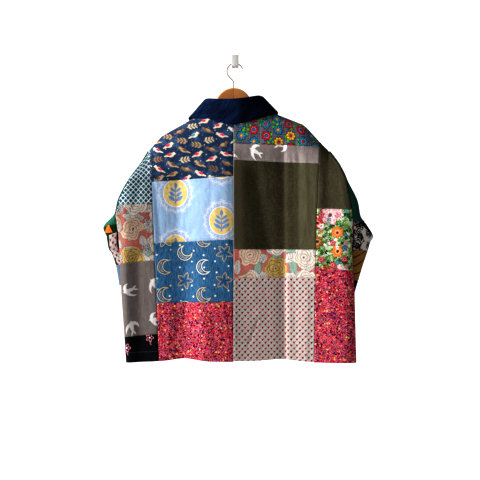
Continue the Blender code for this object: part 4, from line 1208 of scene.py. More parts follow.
def noise(u, v, per_metre, detail=2.0, seed=0.0):
    """A soft uneven number from about 0 to 1."""
    return Term(noises(u, v, per_metre, detail, seed)[0])


def warped(u, v, per_metre, amount):
    """A place moved softly about, so that what is drawn there loses its straight edges."""
    across, along, _ = parts(Term(noises(u, v, per_metre, 2.0, 0.0)["Color"]))
    return u + (across - 0.5) * amount, v + (along - 0.5) * amount


def mottled(u, v, tone, other, per_metre, detail=2.0):
    """A ground that drifts between two colours."""
    return painted(tone, (other, noise(u, v, per_metre, detail)))


def randoms(column, row, seed=0.0):
    """Three random numbers for a repeat of a pattern."""
    made = add_node(column.tree, "ShaderNodeTexWhiteNoise", {"Vector": place(column, row, seed)})
    return parts(Term(made.outputs["Color"]))


# A place in its own repeat of a pattern, from the middle, and three random numbers of that repeat.
Cell = namedtuple("Cell", "x y chance tint turn")


def cells(u, v, width, height, seed, drop=0.5):
    """Repeats in columns, each of which starts a share of their height lower than the last."""
    across = u / width
    column = whole(across)
    along = v / height + column * drop
    row = whole(along)
    x, y = (across - column - 0.5) * width, (along - row - 0.5) * height
    return Cell(x, y, *randoms(column, row, seed))


def strayed(cell, across, along):
    """A cell's place seen by a motif that is moved at random."""
    return cell.x + (cell.tint - 0.5) * across, cell.y + (cell.turn - 0.5) * along


def turned(x, y, angle):
    """A place seen by a motif that is turned by angle."""
    if isinstance(angle, Term):
        c, s = cosine(angle), sine(angle)
    else:
        c, s = math.cos(angle), math.sin(angle)
    return x * c + y * s, y * c - x * s


def spun(cell):
    """A cell's place seen by a motif that is turned at random."""
    return turned(cell.x, cell.y, cell.turn * math.tau)


def reach(x, y):
    return calc("SQRT", x * x + y * y)


def bearing(x, y):
    return calc("ARCTAN2", y, x)


def disc(x, y, radius):
    return reach(x, y) - radius


def oval(x, y, across, along):
    """Distance to an ellipse, near its outline."""
    return (reach(x / across, y / along) - 1.0) * min(across, along)


def leaf(x, y, length, width):
    """Distance to a pointed leaf along x."""
    radius = (length * length + width * width) / (4 * width)
    return reach(x, abs(y) + (radius - width / 2)) - radius


def leaf_pairs(x, y, *pairs):
    """Distance to leaves on both sides of x: how far along, how far off, lean, length, width."""
    y = abs(y)
    found = [
        leaf(*turned(x - at, y - off, lean), length, width)
        for at, off, lean, length, width in pairs
    ]
    return least(*found)


def petals(x, y, count, radius, swing):
    """Distance to a flower with round petals."""
    return reach(x, y) - cosine(bearing(x, y) * count) * swing - radius


def star(x, y, points, inner, outer):
    share = abs(centred(bearing(x, y) * (points / math.tau))) * 2
    return reach(x, y) - share * (outer - inner) - inner


def heart(x, y, size):
    lobe = y - calc("SQRT", abs(x) * (0.5 * size))
    return reach(x, lobe) - 0.5 * size


def taper(x, y, start, end, start_radius, end_radius):
    """Distance to a rod from start to end with round ends."""
    run_x, run_y = end[0] - start[0], end[1] - start[1]
    length = run_x * run_x + run_y * run_y
    px, py = x - start[0], y - start[1]
    along = (px * run_x + py * run_y) / length
    share = Term(add_node(x.tree, "ShaderNodeClamp", {0: along}).outputs[0])
    away = reach(px - share * run_x, py - share * run_y)
    return away - share * (end_radius - start_radius) - start_radius


def line(distance, width):
    """Distance to a line of a width along an outline."""
    return abs(distance) - width / 2


# ================================================================ the cloths' patterns
WHITE = (236, 236, 232)


def plain_print(tone, other, per_metre):
    """The print of a plain cloth, which drifts between two colours."""
    return lambda u, v: mottled(u, v, tone, other, per_metre)


def check_print(u, v):
    """Diamonds with white lines."""
    a, b = u / 0.0142 + v / 0.0160, u / 0.0142 - v / 0.0160
    tones = [(36, 92, 108), (48, 108, 118), (30, 78, 98), (44, 78, 104)]
    edge = 0.5 - most(abs(centred(a)), abs(centred(b)))
    return painted(
        picked(randoms(whole(a), whole(b))[0], tones),
        ((20, 60, 76), inside(0.5 - noise(u, v, 260), 0.15) * 0.6),
        ((216, 222, 222), inside(edge * 0.0106 - 0.0010, 0.0004)),
    )


def rose(colour, x, y, turn, radius, tone, dark):
    """A full rose painted over colour: rings of lobed petals, each shading the ring below it."""
    far, around = reach(x, y), bearing(x, y)
    streak = inside(0.80 - sine(around * 23 + far * 260), 0.2)
    for share, lobes, swing in ((1.0, 5, 0.20), (0.74, 5, 0.15), (0.50, 4, 0.11), (0.27, 3, 0.07)):
        bend = abs(sine(around * (lobes / 2) + turn * (4.0 + lobes)))
        edge = far - bend * (swing * radius) - (share - swing) * radius
        if share < 1.0:
            colour = painted(colour, (dark, inside(edge - 0.05 * radius, 0.09 * radius) * 0.7))
        colour = painted(
            colour,
            (tone, inside(edge)),
            (dark, inside(line(edge, 0.0009)) * 0.9),
            (dark, streak * inside(edge) * 0.30),
        )
    return painted(colour, (dark, inside(far - 0.08 * radius)))


def rose_print(u, v):
    """Salmon ground with large roses, pale veined leaves and small flowers."""
    patches = inside(0.63 - noise(u, v, 24, 1.0, 8), 0.02) * 0.8
    colour = painted(mottled(u, v, (198, 122, 110), (180, 103, 95), 40), ((140, 120, 112), patches))
    u, v = warped(u, v, 45, 0.016)
    leaves = (((196, 186, 178), 0.85), ((146, 176, 160), 0.45), ((208, 200, 194), 0.80))
    for number, (tone, share) in enumerate(leaves):
        cell = cells(u + 0.009 * number, v + 0.023 * number, 0.050, 0.047, 31 + number)
        x, y = spun(cell)
        shown = some(cell.chance, share)
        blade = leaf(x, y, 0.045, 0.023)
        shade = inside(0.7 - sine(x * 1050 - abs(y) * 800), 0.2) * inside(blade)
        veins = inside(least(line(blade, 0.0010), most(line(y, 0.0009), blade)))
        colour = painted(
            colour,
            (tone, inside(blade) * shown),
            ((116, 102, 98), shade * shown * 0.6),
            ((88, 74, 72), veins * shown * 0.8),
        )
    cell = cells(u, v, 0.080, 0.074, 6)
    x, y = strayed(cell, 0.010, 0.008)
    tones = [(212, 182, 156), (192, 156, 56), (226, 214, 204), (206, 176, 150), (222, 208, 196)]
    darks = [(118, 84, 70), (92, 70, 24), (126, 108, 102), (114, 80, 66), (128, 110, 102)]
    petal = painted(picked(cell.chance, tones), ((236, 218, 200), noise(x, y, 70, 1.0, 3) * 0.45))
    colour = rose(colour, x, y, cell.turn, 0.0335, petal, picked(cell.chance, darks))
    cell = cells(u + 0.040, v + 0.015, 0.080, 0.074, 4)
    shown = some(cell.chance, 0.7)
    for at_x, at_y in ((-0.0065, 0.004), (0.0065, 0.0055), (0.001, -0.0065)):
        x, y = cell.x - at_x, cell.y - at_y
        bloom = petals(x, y, 6, 0.0052, 0.0012)
        colour = painted(
            colour,
            ((190, 182, 184), inside(bloom) * shown),
            ((78, 64, 74), inside(line(bloom, 0.0009)) * shown),
            ((88, 72, 84), inside(disc(x, y, 0.0019)) * shown),
        )
    return colour


def bird(x, y, span):
    """Distance to a swallow gliding along x, seen from above, with its wings swept back."""
    x, y = x / span, y / span
    wings = most(disc(x + 0.08, y, 0.36), -disc(x + 0.26, y, 0.36))
    body = leaf(x - 0.05, y, 0.62, 0.19)
    head = disc(x - 0.23, y, 0.075)
    tail = leaf_pairs(x, y, (-0.27, 0.060, -0.42, 0.30, 0.080))
    return least(wings, body, head, tail) * span


def bird_print(u, v):
    """Warm grey with white swallows."""
    cell = cells(u, v, 0.070, 0.098, 2, drop=0.8)
    x, y = cell.x + (cell.tint - 0.5) * 0.010, cell.y + (cell.chance - 0.5) * 0.010
    x, y = turned(x, y, cell.turn * math.tau)
    shape = inside(bird(x + y * 0.30, y, 0.056), 0.0005)
    return painted(mottled(u, v, (132, 122, 118), (116, 106, 104), 60), ((224, 218, 216), shape))


def wren(x, y):
    """Distances to a small bird sitting along x, and to its wing."""
    body = oval(*turned(x, y, 0.35), 0.0084, 0.0054)
    head = disc(x - 0.0076, y - 0.0056, 0.0038)
    beak = taper(x, y, (0.0100, 0.0058), (0.0138, 0.0050), 0.0013, 0.0003)
    tail = taper(x, y, (-0.0060, -0.0030), (-0.0148, -0.0070), 0.0028, 0.0014)
    wing = leaf(*turned(x + 0.0030, y - 0.0006, 0.45), 0.0130, 0.0064)
    return least(body, head, beak, tail), wing


def spray(x, y):
    """Distance to a stem along x with three pairs of leaves."""
    leaves = (
        (-0.0070, 0.0042, 0.7, 0.0112, 0.0050),
        (0.0010, 0.0040, 0.7, 0.0104, 0.0046),
        (0.0085, 0.0034, 0.7, 0.0086, 0.0038),
    )
    stem = taper(x, y, (-0.0140, 0.0), (0.0130, 0.0), 0.0010, 0.0007)
    return least(stem, leaf_pairs(x, y, *leaves))


def sprig_print(u, v):
    """Navy with small cream and tan birds and sprays, coloured wings and buds, and white dots."""
    dot = cells(u + 0.004, v + 0.006, 0.0193, 0.0135, 3)
    spot = picked(dot.chance, [WHITE, (150, 120, 90), (96, 150, 160), (150, 120, 90)])
    cell = cells(u, v, 0.0385, 0.0270, 5)
    x, y = turned(cell.x * calc("SIGN", cell.tint - 0.5), cell.y, (cell.turn - 0.5) * 0.5)
    x, y = x / 1.15, y / 1.15
    sitting, wing = wren(x, y)
    is_bird = inside(cell.turn - 0.62, 0.001)
    shape = either(is_bird, sitting, spray(x, y))
    birds = [(224, 212, 188), (226, 216, 196), (186, 158, 124), (222, 208, 180), (130, 104, 84)]
    sprays = [(148, 118, 90), (206, 190, 160), (122, 96, 78), (176, 150, 118)]
    accents = [(222, 60, 106), (98, 158, 166), (120, 92, 74), (222, 60, 106), (176, 146, 112)]
    tone = painted(picked(cell.chance, sprays), (picked(cell.chance, birds), is_bird))
    return painted(
        mottled(u, v, (68, 92, 126), (50, 74, 108), 30),
        ((26, 40, 64), inside(0.42 - noise(u, v, 36, 1.0, 6), 0.03) * 0.6),
        (spot, inside(disc(*strayed(dot, 0.008, 0.005), 0.0012))),
        (tone, inside(shape)),
        ((60, 48, 52), inside(line(shape, 0.0006)) * 0.7),
        (picked(cell.chance, accents), inside(wing) * is_bird),
    )


def medallion_print(u, v):
    """Pale blue with staggered yellow rounds in lacy white borders, each with a blue fern sprig."""
    cell = cells(u, v, 0.132, 0.156, 1)
    x, y = cell.x / 1.25, cell.y / 1.25
    around = bearing(x, y)
    edge = oval(x, y, 0.0285, 0.0320)
    scallop = edge - abs(sine(around * 7)) * 0.0042 - 0.0058
    holes = disc(sine(around * 14) * 0.0028, edge - 0.0045, 0.0013)
    loops = line(scallop - 0.0030 - sine(around * 28) * 0.0012, 0.0013)
    well = edge + 0.0010
    mirrored = abs(x)
    fern = least(
        taper(x, y, (0.0, -0.0230), (0.0, 0.0140), 0.0015, 0.0010),
        leaf(y - 0.0170, x, 0.0150, 0.0074),
        leaf(*turned(mirrored - 0.0092, y + 0.0120, 0.62), 0.0200, 0.0082),
        leaf(*turned(mirrored - 0.0084, y + 0.0020, 0.66), 0.0180, 0.0074),
        leaf(*turned(mirrored - 0.0070, y - 0.0075, 0.72), 0.0150, 0.0062),
    )
    return painted(
        mottled(u, v, (154, 182, 212), (138, 166, 200), 40),
        ((178, 202, 226), noise(u * 3, v, 60, seed=4) * 0.5),
        ((206, 206, 218), inside(loops)),
        ((190, 198, 218), inside(scallop) * 0.55),
        ((226, 222, 226), inside(line(scallop, 0.0013))),
        ((128, 150, 190), inside(least(holes, line(edge - 0.0018, 0.0009)))),
        ((218, 192, 124), inside(well)),
        ((202, 172, 104), inside(0.5 - noise(u, v, 120), 0.1) * inside(well) * 0.5),
        ((228, 222, 224), inside(line(well, 0.0014))),
        ((108, 138, 182), inside(fern)),
    )


def star_print(u, v):
    """Mid blue with outlined stars, moons and dots."""
    dot = cells(u, v, 0.0335, 0.0325, 3)
    spot = picked(dot.chance, [(226, 220, 198), (206, 180, 120), WHITE, WHITE])
    cell = cells(u, v, 0.056, 0.078, 8)
    x, y = turned(cell.x, cell.y, (cell.turn - 0.5) * 1.2)
    tone = picked(cell.chance, [(230, 216, 176), (212, 184, 124), (236, 228, 206)])
    moon = most(disc(x, y, 0.0205), -disc(x - 0.0095, y - 0.0040, 0.0165))
    shape = either(some(cell.tint, 0.5), star(x, y, 5, 0.0095, 0.0240), moon)
    return painted(
        (38, 80, 114),
        ((80, 125, 162), inside(0.52 - noise(u * 16, v, 55, seed=2), 0.16)),
        (spot, inside(disc(*strayed(dot, 0.008, 0.008), 0.0025))),
        ((42, 88, 128), inside(shape - 0.003)),
        (tone, inside(line(shape, 0.0021))),
        (tone, inside(line(shape + 0.0052, 0.0010)) * 0.8),
    )


DITSY_TONES = (
    (226, 60, 66), (76, 6, 30), (40, 30, 84), (236, 100, 56), (112, 10, 38), (50, 18, 54),
    (206, 30, 62), (88, 10, 36), (238, 184, 96), (222, 46, 72), (38, 40, 96), (98, 12, 38),
)


def ditsy_print(u, v):
    """Crimson crossed by fine pink scrolls, with many small dark and bright flowers."""
    colour = mottled(u, v, (180, 42, 70), (138, 24, 54), 60)
    for number, tone in enumerate(((238, 158, 174), (232, 128, 146))):
        curl = noise(u, v, 135, 0.0, 5 + number) - 0.5
        colour = painted(colour, (tone, inside(line(curl, 0.052), 0.014) * 0.85))
    per_metre = 150
    inputs = {"Vector": place(u * per_metre, v * per_metre), "Scale": 1.0}
    made = add_node(u.tree, "ShaderNodeTexVoronoi", inputs, voronoi_dimensions="2D")
    chance, size, glint = parts(Term(made.outputs["Color"]))
    far = Term(made.outputs["Distance"]) / per_metre
    dot = far - 0.0016 - size * 0.0013
    return painted(
        colour,
        ((96, 10, 38), inside(dot - 0.0006) * 0.5),
        (picked(chance, DITSY_TONES), inside(dot)),
        ((240, 204, 198), inside(far - 0.0008) * inside(0.55 - glint, 0.01) * 0.9),
    )


def posy_print(u, v):
    """Slate chambray, crossed by paler threads, with bright round flowers and green leaves."""
    weave = noise(u * 3, v, 260, 1.0) + noise(u, v * 3, 260, 1.0, 4)
    threads = most(sine(u * 980), sine(v * 980))
    broad = most(cosine(u * 62 + 1.6), cosine(v * 74 + 0.6))
    cell = cells(u, v, 0.0350, 0.0335, 9)
    x, y = spun(cell)
    far, around = reach(x, y), bearing(x, y)
    blades = leaf_pairs(x, y, (0.0125, 0.0060, 0.75, 0.0140, 0.0088))
    bloom = petals(x, y, 8, 0.0126, 0.0014)
    tones = [(206, 34, 60), (246, 190, 42), (36, 130, 172), (208, 36, 64), (40, 136, 176)]
    hearts = [(40, 100, 160), (202, 44, 44), (242, 166, 50), (34, 84, 146), (206, 46, 50)]
    darks = [(104, 12, 36), (150, 84, 22), (14, 58, 92), (104, 12, 36), (14, 58, 92)]
    deep = picked(cell.chance, darks)
    ring = inside(line(far - 0.0060, 0.0016)) * inside(0.1 - cosine(around * 9), 0.2)
    return painted(
        (54, 57, 70),
        ((104, 105, 116), inside(1.0 - weave, 0.12)),
        ((140, 138, 148), inside(0.90 - threads, 0.08) * 0.55),
        ((140, 138, 148), inside(0.93 - broad, 0.04) * 0.35),
        ((80, 176, 54), inside(blades)),
        ((20, 46, 26), inside(line(blades, 0.0011))),
        (picked(cell.chance, tones), inside(bloom)),
        (deep, inside(far - 0.0078) * 0.85),
        (deep, inside(cosine(around * 8) + 0.55, 0.2) * inside(bloom) * 0.6),
        ((20, 18, 28), inside(line(bloom, 0.0019))),
        ((226, 220, 208), ring * 0.75),
        (picked(cell.chance, hearts), inside(far - 0.0038)),
        ((24, 20, 30), inside(line(far - 0.0040, 0.0009))),
    )


def twill_print(u, v):
    """Olive drab, with painted light in bands where its folds face the light, and paler along its
    left edge.
    """
    # painted light: paler bands where the folds face the light
    pale = most(inside(0.182 - u, 0.020) * inside(u - 0.234, 0.012), inside(0.276 - u, 0.018) * 0.4)
    return painted(
        mottled(u, v, (82, 77, 58), (62, 57, 43), 22, 3.0),
        ((42, 39, 28), inside(0.5 - noise(u, v, 170), 0.16) * 0.45),
        ((112, 107, 84), pale * 0.50),
        ((108, 101, 78), inside(u - 0.020, 0.014) * 0.75),
    )


def heart_print(u, v):
    """Off-white with red hearts in staggered rows and tiny dots between."""
    width, height = 0.00825, 0.0168
    cell = cells(u, v, width, height, 1)
    tone = picked(cell.chance, [(146, 16, 32), (116, 12, 28), (158, 22, 34), (98, 16, 32)])
    shape = heart(cell.x, cell.y + 0.0010, 0.0061)
    between = cells(u + width / 2, v + height / 4, width, height, 2)
    spot = picked(between.chance, [(72, 120, 124), (140, 130, 118), (84, 116, 110)])
    return painted(
        mottled(u, v, (198, 190, 184), (184, 175, 169), 25),
        ((214, 172, 170), inside(shape - 0.0008) * 0.5),
        (tone, inside(shape)),
        (spot, inside(disc(between.x, between.y, 0.0011))),
    )


def edged_heart_print(u, v):
    """The heart print, with the next patch's dark green turned over along the outer fold."""
    turn = inside(0.0262 + (v + 0.5000) * 0.075 - u, 0.0004)
    return painted(heart_print(u, v), ((12, 44, 24), turn))


# The garden print's flowers: their repeat, how far it is moved, their form, the share of the
# repeats that has one, and their colours.
Bloom = namedtuple("Bloom", "width height moved seed radius swing petals share tones darks")
GARDEN_BLOOMS = table(
    Bloom,
    (
        0.056, 0.052, 0.021, 14, 0.0155, 0.0022, 6, 0.80,
        [(240, 136, 66), (224, 70, 70), (246, 214, 218), (172, 112, 48)],
        [(170, 54, 30), (116, 16, 32), (206, 84, 106), (78, 44, 18)],
    ),
    (
        0.088, 0.080, 0.041, 19, 0.0235, 0.0046, 5, 0.90,
        [(228, 72, 48), (242, 200, 204), (162, 104, 44), (236, 92, 62)],
        [(128, 16, 32), (198, 44, 72), (70, 38, 14), (140, 22, 34)],
    ),
    (
        0.033, 0.031, 0.006, 15, 0.0078, 0.0018, 5, 0.60,
        [(36, 142, 164), (250, 244, 240), (30, 128, 156), (222, 76, 108)],
        [(10, 76, 100), (206, 110, 122), (8, 68, 96), (128, 20, 52)],
    ),
    (
        0.024, 0.022, 0.013, 27, 0.0050, 0.0014, 6, 0.55,
        [(52, 160, 176), (238, 150, 170), (250, 246, 240), (240, 150, 70)],
        [(10, 84, 104), (170, 36, 72), (196, 96, 60), (150, 48, 22)],
    ),
)
GREENS = ((158, 184, 112), (106, 142, 76), (54, 96, 52), (18, 58, 42), (124, 158, 92))


def garden_print(u, v):
    """White ground under loose green sprays, with poppies and smaller bright flowers."""
    u, v = warped(u, v, 75, 0.008)
    colour = painted((255, 255, 250), ((196, 214, 172), inside(0.40 - noise(u, v, 70), 0.05)))
    leaves = ((-0.0020, 0.0030, 0.8, 0.0080, 0.0034), (0.0035, 0.0026, 0.8, 0.0070, 0.0030))
    for number in range(6):
        cell = cells(u + 0.0063 * number, v + 0.0097 * number, 0.0185, 0.0172, 11 + number)
        x, y = spun(cell)
        blades = least(leaf(x, y, 0.0170, 0.0042), leaf_pairs(x, y, *leaves))
        shown = inside(blades) * some(cell.tint, 0.51)
        green = picked(cell.chance, GREENS)
        colour = painted(colour, (green, shown), ((12, 50, 34), inside(y) * shown * 0.45))
    for row in GARDEN_BLOOMS:
        cell = cells(u + row.moved, v + row.moved, row.width, row.height, row.seed)
        x, y = spun(cell)
        far, around = reach(x, y), bearing(x, y)
        shown = some(cell.tint, row.share)
        bloom = petals(x, y, row.petals, row.radius, row.swing)
        deep = picked(cell.chance, row.darks)
        folds = sine(around * (2 * row.petals) + far * 300) + sine(far * 800 + around * 3) * 0.6
        ring = line(far - 0.42 * row.radius, 0.12 * row.radius)
        colour = painted(
            colour,
            ((14, 52, 36), inside(bloom - 0.0012) * shown * 0.55),
            (picked(cell.chance, row.tones), inside(bloom) * shown),
            (deep, inside(0.6 - folds, 0.5) * inside(bloom) * shown * 0.65),
            (deep, inside(line(bloom, 0.0008)) * shown * 0.6),
            ((244, 226, 184), inside(ring) * shown * 0.5),
            ((44, 20, 34), inside(far - 0.24 * row.radius) * shown * 0.9),
        )
    return colour


def bottle_print(u, v):
    """Dark green with a few orange triangles edged in black."""
    cell = cells(u, v, 0.052, 0.046, 3)
    x, y = spun(cell)
    shape = most(y - 0.0100, abs(x) * 0.87 - y * 0.5 - 0.0080)
    shown = some(cell.chance, 0.5)
    return painted(
        mottled(u, v, (14, 62, 22), (8, 42, 16), 40),
        ((10, 12, 14), inside(shape - 0.0030) * shown),
        ((222, 104, 40), inside(shape) * shown),
    )


def branch_print(u, v):
    """Warm pale grey with black leafy branches, crowded in bands and sparse between them."""
    colour = mottled(u, v, (206, 198, 190), (184, 174, 168), 50)
    crowded = noise(u, v, 70, 1.0, 5) * 1.8 - 1.0 - cosine(u * 74)
    leaves = (
        (-0.0060, 0.0045, 0.8, 0.0120, 0.0052),
        (0.0, 0.0045, 0.8, 0.0115, 0.0050),
        (0.0065, 0.0040, 0.8, 0.0105, 0.0044),
    )
    for number, sparse in enumerate((1.1, 0.35, 0.0)):
        cell = cells(u + 0.011 * number, v + 0.017 * number, 0.029, 0.031, 20 + number)
        x, y = spun(cell)
        stem = taper(x, y, (-0.0130, 0.0), (0.0130, 0.0), 0.0011, 0.0006)
        blades = least(leaf_pairs(x, y, *leaves), stem)
        colour = painted(colour, ((26, 22, 28), inside(blades) * inside(crowded - sparse, 0.15)))
    return colour


def edged_branch_print(u, v):
    """The branch print, with a dark turned edge where the upper sleeve runs down to the elbow."""
    turn = inside(0.0285 - (v + 0.4760) * 1.15 - u, 0.0004) * inside(-0.5020 - v, 0.0010)
    return painted(branch_print(u, v), ((14, 22, 20), turn))


def brown_print(u, v):
    """Golden brown with black curved lines that draw together."""
    wave = (v + 0.5800) * (1.0 - u * 9.0) + sine(u * 62 + 1.0) * 0.0080
    wave += noise(u, v, 30, 1.0) * 0.010
    pitch = 0.0215
    near = abs(centred(wave / pitch)) * pitch
    ground = mottled(u, v, (164, 120, 66), (122, 86, 46), 40)
    return painted(ground, ((24, 18, 18), inside(near - 0.0013)))


def black_print(u, v):
    """Black with a few small outlined flowers in pink and white."""
    cell = cells(u, v, 0.064, 0.058, 12)
    x, y = cell.x + (cell.tint - 0.5) * 0.010, cell.y
    shown = some(cell.chance, 0.75)
    outline = line(petals(x, y, 5, 0.0085, 0.0026), 0.0019)
    stalk = taper(x, y, (0.0, -0.0090), (0.0040, -0.0200), 0.0009, 0.0006)
    return painted(
        mottled(u, v, (6, 6, 9), (17, 17, 21), 40),
        ((206, 122, 140), inside(least(outline, stalk)) * shown),
        ((222, 214, 196), inside(disc(x, y, 0.0024)) * shown),
    )


def collar_print(u, v):
    """Dark navy denim with paler crossing threads, and painted shade over its second half, which
    turns away from the light.
    """
    # painted shade: the half of the collar that faces away from the light is darkened
    painted_shade_half = (v - 0.080) * 0.87 - u + 0.252 + noise(u, v, 60) * 0.012
    return painted(
        (12, 27, 54),
        ((34, 62, 108), inside(0.55 - noise(u, v * 6, 420, 1.0), 0.07)),
        ((58, 88, 128), inside(0.64 - noise(u * 6, v, 300, 1.0, 7), 0.05) * 0.55),
        ((4, 9, 24), inside(0.53 - noise(u * 8, v, 45, seed=2), 0.10) * 0.70),
        ((5, 12, 28), inside(0.5 - noise(u, v, 30), 0.15) * 0.6),
        ((2, 3, 10), inside(painted_shade_half, 0.010) * 0.72),
    )


# ================================================================ materials
def new_material(name):
    made = bpy.data.materials.new(name)
    made.use_nodes = True
    return made, made.node_tree, made.node_tree.nodes["Principled BSDF"]


def woven(u, v, thread):
    """Height of a plain weave with a soft unevenness and faint creases that hang down it."""
    over = sine(u * (math.pi / thread)) * sine(v * (math.pi / thread)) * (0.11 * thread)
    rough = over + noise(u, v, 95, 3.0) * 0.0011 + noise(u, v, 26, 1.0, 9) * 0.0022
    return rough + noise(u * 4.5, v, 20, 2.0, 4) * 0.0011


def cloth_material(name, pattern, thread, tone=1.0):
    """A cloth with a print, a weave of threads of some width, and a tone of painted light, over 1,
    or painted shade, below 1.
    """
    made, tree, shader = new_material(name)
    u, v, _ = parts(Term(add_node(tree, "ShaderNodeUVMap", {}, uv_map="cloth").outputs[0]))
    # random mottling of the cloth, times the patch's painted light or shade
    mottle_and_painted_light = (noise(u, v, 14, 4.0, 3) * 0.24 + 0.88) * tone
    inputs = {0: pattern(u, v), "Scale": mottle_and_painted_light}
    faded = add_node(tree, "ShaderNodeVectorMath", inputs, operation="SCALE")
    bump = add_node(tree, "ShaderNodeBump", {"Height": woven(u, v, thread), "Distance": 1.0})
    looks = {"Base Color": Term(faded.outputs[0]), "Normal": Term(bump.outputs[0])}
    looks |= {"Roughness": 0.9, "Specular IOR Level": 0.05}
    looks |= {"Sheen Weight": 0.02, "Sheen Roughness": 0.5}
    set_inputs(shader, looks)
    return made


def plain_material(name, colour, roughness, metallic=0.0):
    made, _, shader = new_material(name)
    set_inputs(shader, {"Base Color": colour, "Roughness": roughness, "Metallic": metallic})
    return made


def wood_material():
    """Varnished golden brown wood in two halves, joined down the middle of the round top, with a
    painted highlight round the top's rim.
    """
    made, tree, shader = new_material("hanger_wood")
    x, _, z = parts(Term(add_node(tree, "ShaderNodeTexCoord", {}).outputs["Object"]))
    side = calc("SIGN", x - CENTRE_X)
    rim = HANGER_DISC_R - HANGER_ROUND - reach(x - HANGER_DISC.x, z - HANGER_DISC.z)
    colour = painted(
        (180, 112, 51),
        ((132, 74, 30), noise(x * 5 + side * 0.3, z, 75, 3.0)),
        ((206, 139, 73), noise(x * 12 + side * 0.7, z, 320, 2.0, 5) * 0.5),
        ((216, 152, 84), inside(CENTRE_X - x, 0.004) * 0.30),
        # painted highlight along the rounded rim of the round top
        ((220, 160, 96), inside(rim, 0.0006) * 0.7),
        ((84, 42, 18), inside(abs(x - CENTRE_X) - 0.0005, 0.0003) * 0.8),
    )
    looks = {"Base Color": colour, "Roughness": 0.38, "Coat Weight": 0.35, "Coat Roughness": 0.22}
    set_inputs(shader, looks)
    return made


# Each slot's cloth: its pattern and the width of its threads.
FINE, COARSE, HEAVY = 0.0006, 0.0007, 0.0009
PRINTS = {
    "check_cotton": (check_print, FINE),
    "rose_cotton": (rose_print, FINE),
    "grey_cotton": (bird_print, FINE),
    "black_cotton": (black_print, COARSE),
    "navy_cotton": (sprig_print, FINE),
    "pale_blue_cotton": (medallion_print, FINE),
    "blue_denim": (star_print, COARSE),
    "red_cotton": (ditsy_print, FINE),
    "flower_cotton": (posy_print, COARSE),
    "olive_twill": (twill_print, HEAVY),
    "heart_cotton": (heart_print, FINE),
    "garden_cotton": (garden_print, FINE),
    "bottle_cotton": (bottle_print, FINE),
    "teal_cotton": (plain_print((46, 102, 86), (26, 76, 62), 60), FINE),
    "toile_cotton": (branch_print, FINE),
    "brown_cotton": (brown_print, FINE),
    "collar_denim": (collar_print, HEAVY),
}
# Cloths that differ from the rest of their slot.
OWN_PRINTS = {
    "sleeve_left_hearts": (edged_heart_print, FINE),
    "sleeve_right_bottle": (plain_print((42, 84, 74), (28, 60, 56), 40), FINE),
    "sleeve_right_toile": (edged_branch_print, FINE),
}
# Where a patch's print is moved to, (u, v).
PRINT_SHIFTS = {
    "back_grey_yoke": (-0.027, 0.021),
    "back_grey_side": (0.035, 0.035),
    "back_medallion": (0.100, 0.066),
}
# Painted light and shade on whole patches: how much brighter, over 1, or darker than its print a
# patch is made for the light or shade that falls on it.
PAINTED_LIGHT_AND_SHADE = {
    "back_grey_yoke": 1.45,
    "back_grey_side": 0.62,
    "back_flower_yoke": 1.08,
    "back_rose_side": 0.68,
    "back_rose": 1.10,
    "sleeve_left_hearts": 0.68,
    "sleeve_left_blue": 0.25,
    "back_red_side": 1.08,
}
WRONG_SIDE = cloth_material("wrong_side", plain_print((168, 164, 158), (150, 146, 142), 60), COARSE)
CLOTHS = {slot: [cloth_material(slot, *PRINTS[slot]), WRONG_SIDE] for slot in PRINTS}
CLOTHS["collar_denim"] = CLOTHS["collar_denim"][:1] * 2
WOOD = wood_material()
WIRE_STEEL = plain_material("wire_steel", (123.6, 119.2, 113), 0.50, 0.3)
HOOK_STEEL = plain_material("wall_hook_steel", (223.3, 219.2, 215.1), 0.45, 0.45)
THREAD_TONES = {
    "cream": (222, 214, 196),
    "navy": (30, 38, 74),
    "grey": (96, 100, 104),
    "olive": (112, 108, 80),
    "red": (150, 30, 48),
}
THREADS = {name: plain_material(f"{name}_thread", tone, 0.8) for name, tone in THREAD_TONES.items()}

# Rows of topstitching: the cloth, its edge, and how far in from it.
SEAM_ROW = (0.0026,)
HEM_ROW = (0.0340,)
Stitching = namedtuple("Stitching", "thread cloth side distances")
STITCHING = table(
    Stitching,
    ("cream", "back_grey_yoke", "lower", (0.0016, 0.0052)),
    ("navy", "back_medallion", "lower", (0.0028, 0.0062)),
    ("navy", "back_navy_print", "lower", SEAM_ROW),
    ("navy", "back_star_denim", "lower", SEAM_ROW),
    ("cream", "back_check", "lower", SEAM_ROW),
    ("grey", "back_grey_side", "lower", SEAM_ROW),
    ("grey", "back_black_side", "lower", (0.0280,)),
    ("olive", "back_olive", "lower", SEAM_ROW),
    ("olive", "back_olive", "right", (0.0022, 0.0070)),
    ("olive", "back_olive_side", "lower", SEAM_ROW),
    ("grey", "back_grey_yoke", "right", (0.0022,)),
    ("cream", "back_hearts", "lower", HEM_ROW),
    ("red", "back_red_left", "lower", HEM_ROW),
    ("red", "back_red_side", "lower", HEM_ROW),
    ("red", "front_red", "lower", HEM_ROW),
    ("grey", "front_grey_side", "lower", HEM_ROW),
    ("grey", "front_black", "lower", HEM_ROW),
    ("cream", "front_check_side", "lower", HEM_ROW),
)

build_body()
build_sleeve(SLEEVE_LEFT, SLEEVE_LEFT_PATCHES, -1)
build_sleeve(SLEEVE_RIGHT, SLEEVE_RIGHT_PATCHES, 1)
build_collar()
build_stitches()
build_hanger()
build_wire()
build_wall_hook()

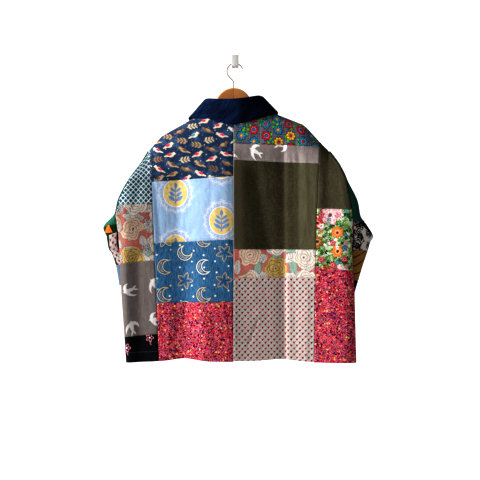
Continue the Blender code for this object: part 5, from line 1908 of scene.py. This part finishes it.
# ================================================================ studio
KEY_PLACE = (-3.7, -0.98, 0.42)
KEY_TARGET = (0.0, -0.05, -0.5)
KEY_SIZE = 0.8
KEY_POWER = 228.0
AMBIENT = 0.29
AMBIENT_EAST = -0.23  # how much more of it comes from the right, and from above
AMBIENT_UP = 0.10
LEAST_AMBIENT = 0.03
FLOOR_Z = -1.75
CAMERA_PLACE = (0.014, -3.25, -0.51)
CAMERA_LENS = 85

scene = bpy.context.scene
scene.view_settings.view_transform = "Standard"
scene.view_settings.look = "High Contrast"


def add_object(name, data, location=(0.0, 0.0, 0.0)):
    made = bpy.data.objects.new(name, data)
    made.location = location
    scene.collection.objects.link(made)
    return made


# The camera sees white. The cloth is lit by less, most of it from the left and from above.
world = bpy.data.worlds.new("studio")
scene.world = world
world.use_nodes = True
sky = world.node_tree
rays = Term(add_node(sky, "ShaderNodeLightPath", {}).outputs["Is Camera Ray"])
east, _, up = parts(Term(add_node(sky, "ShaderNodeTexCoord", {}).outputs["Generated"]))
ambient = most(AMBIENT + east * AMBIENT_EAST + up * AMBIENT_UP, LEAST_AMBIENT)
strength = rays + (1.0 - rays) * ambient
set_inputs(sky.nodes["Background"], {"Color": (255, 255, 255), "Strength": strength})

lamp = bpy.data.lights.new("key", "AREA")
lamp.shape = "DISK"
lamp.size = KEY_SIZE
lamp.energy = KEY_POWER
key = add_object("key", lamp, KEY_PLACE)
key.rotation_euler = (Vector(KEY_TARGET) - Vector(KEY_PLACE)).to_track_quat("-Z", "Y").to_euler()

corners = [(-3, -4, FLOOR_Z), (3, -4, FLOOR_Z), (3, 2, FLOOR_Z), (-3, 2, FLOOR_Z)]
floor = add_object("floor", new_mesh("floor", corners, [(0, 1, 2, 3)]))
floor.data.materials.append(plain_material("floor", (231.1, 231.1, 231.1), 0.9))

lens = bpy.data.cameras.new("camera")
lens.lens = CAMERA_LENS
lens.sensor_width = 36
lens.clip_end = 20
camera = add_object("camera", lens, CAMERA_PLACE)
camera.rotation_euler = (math.radians(90), 0.0, 0.0)
scene.camera = camera
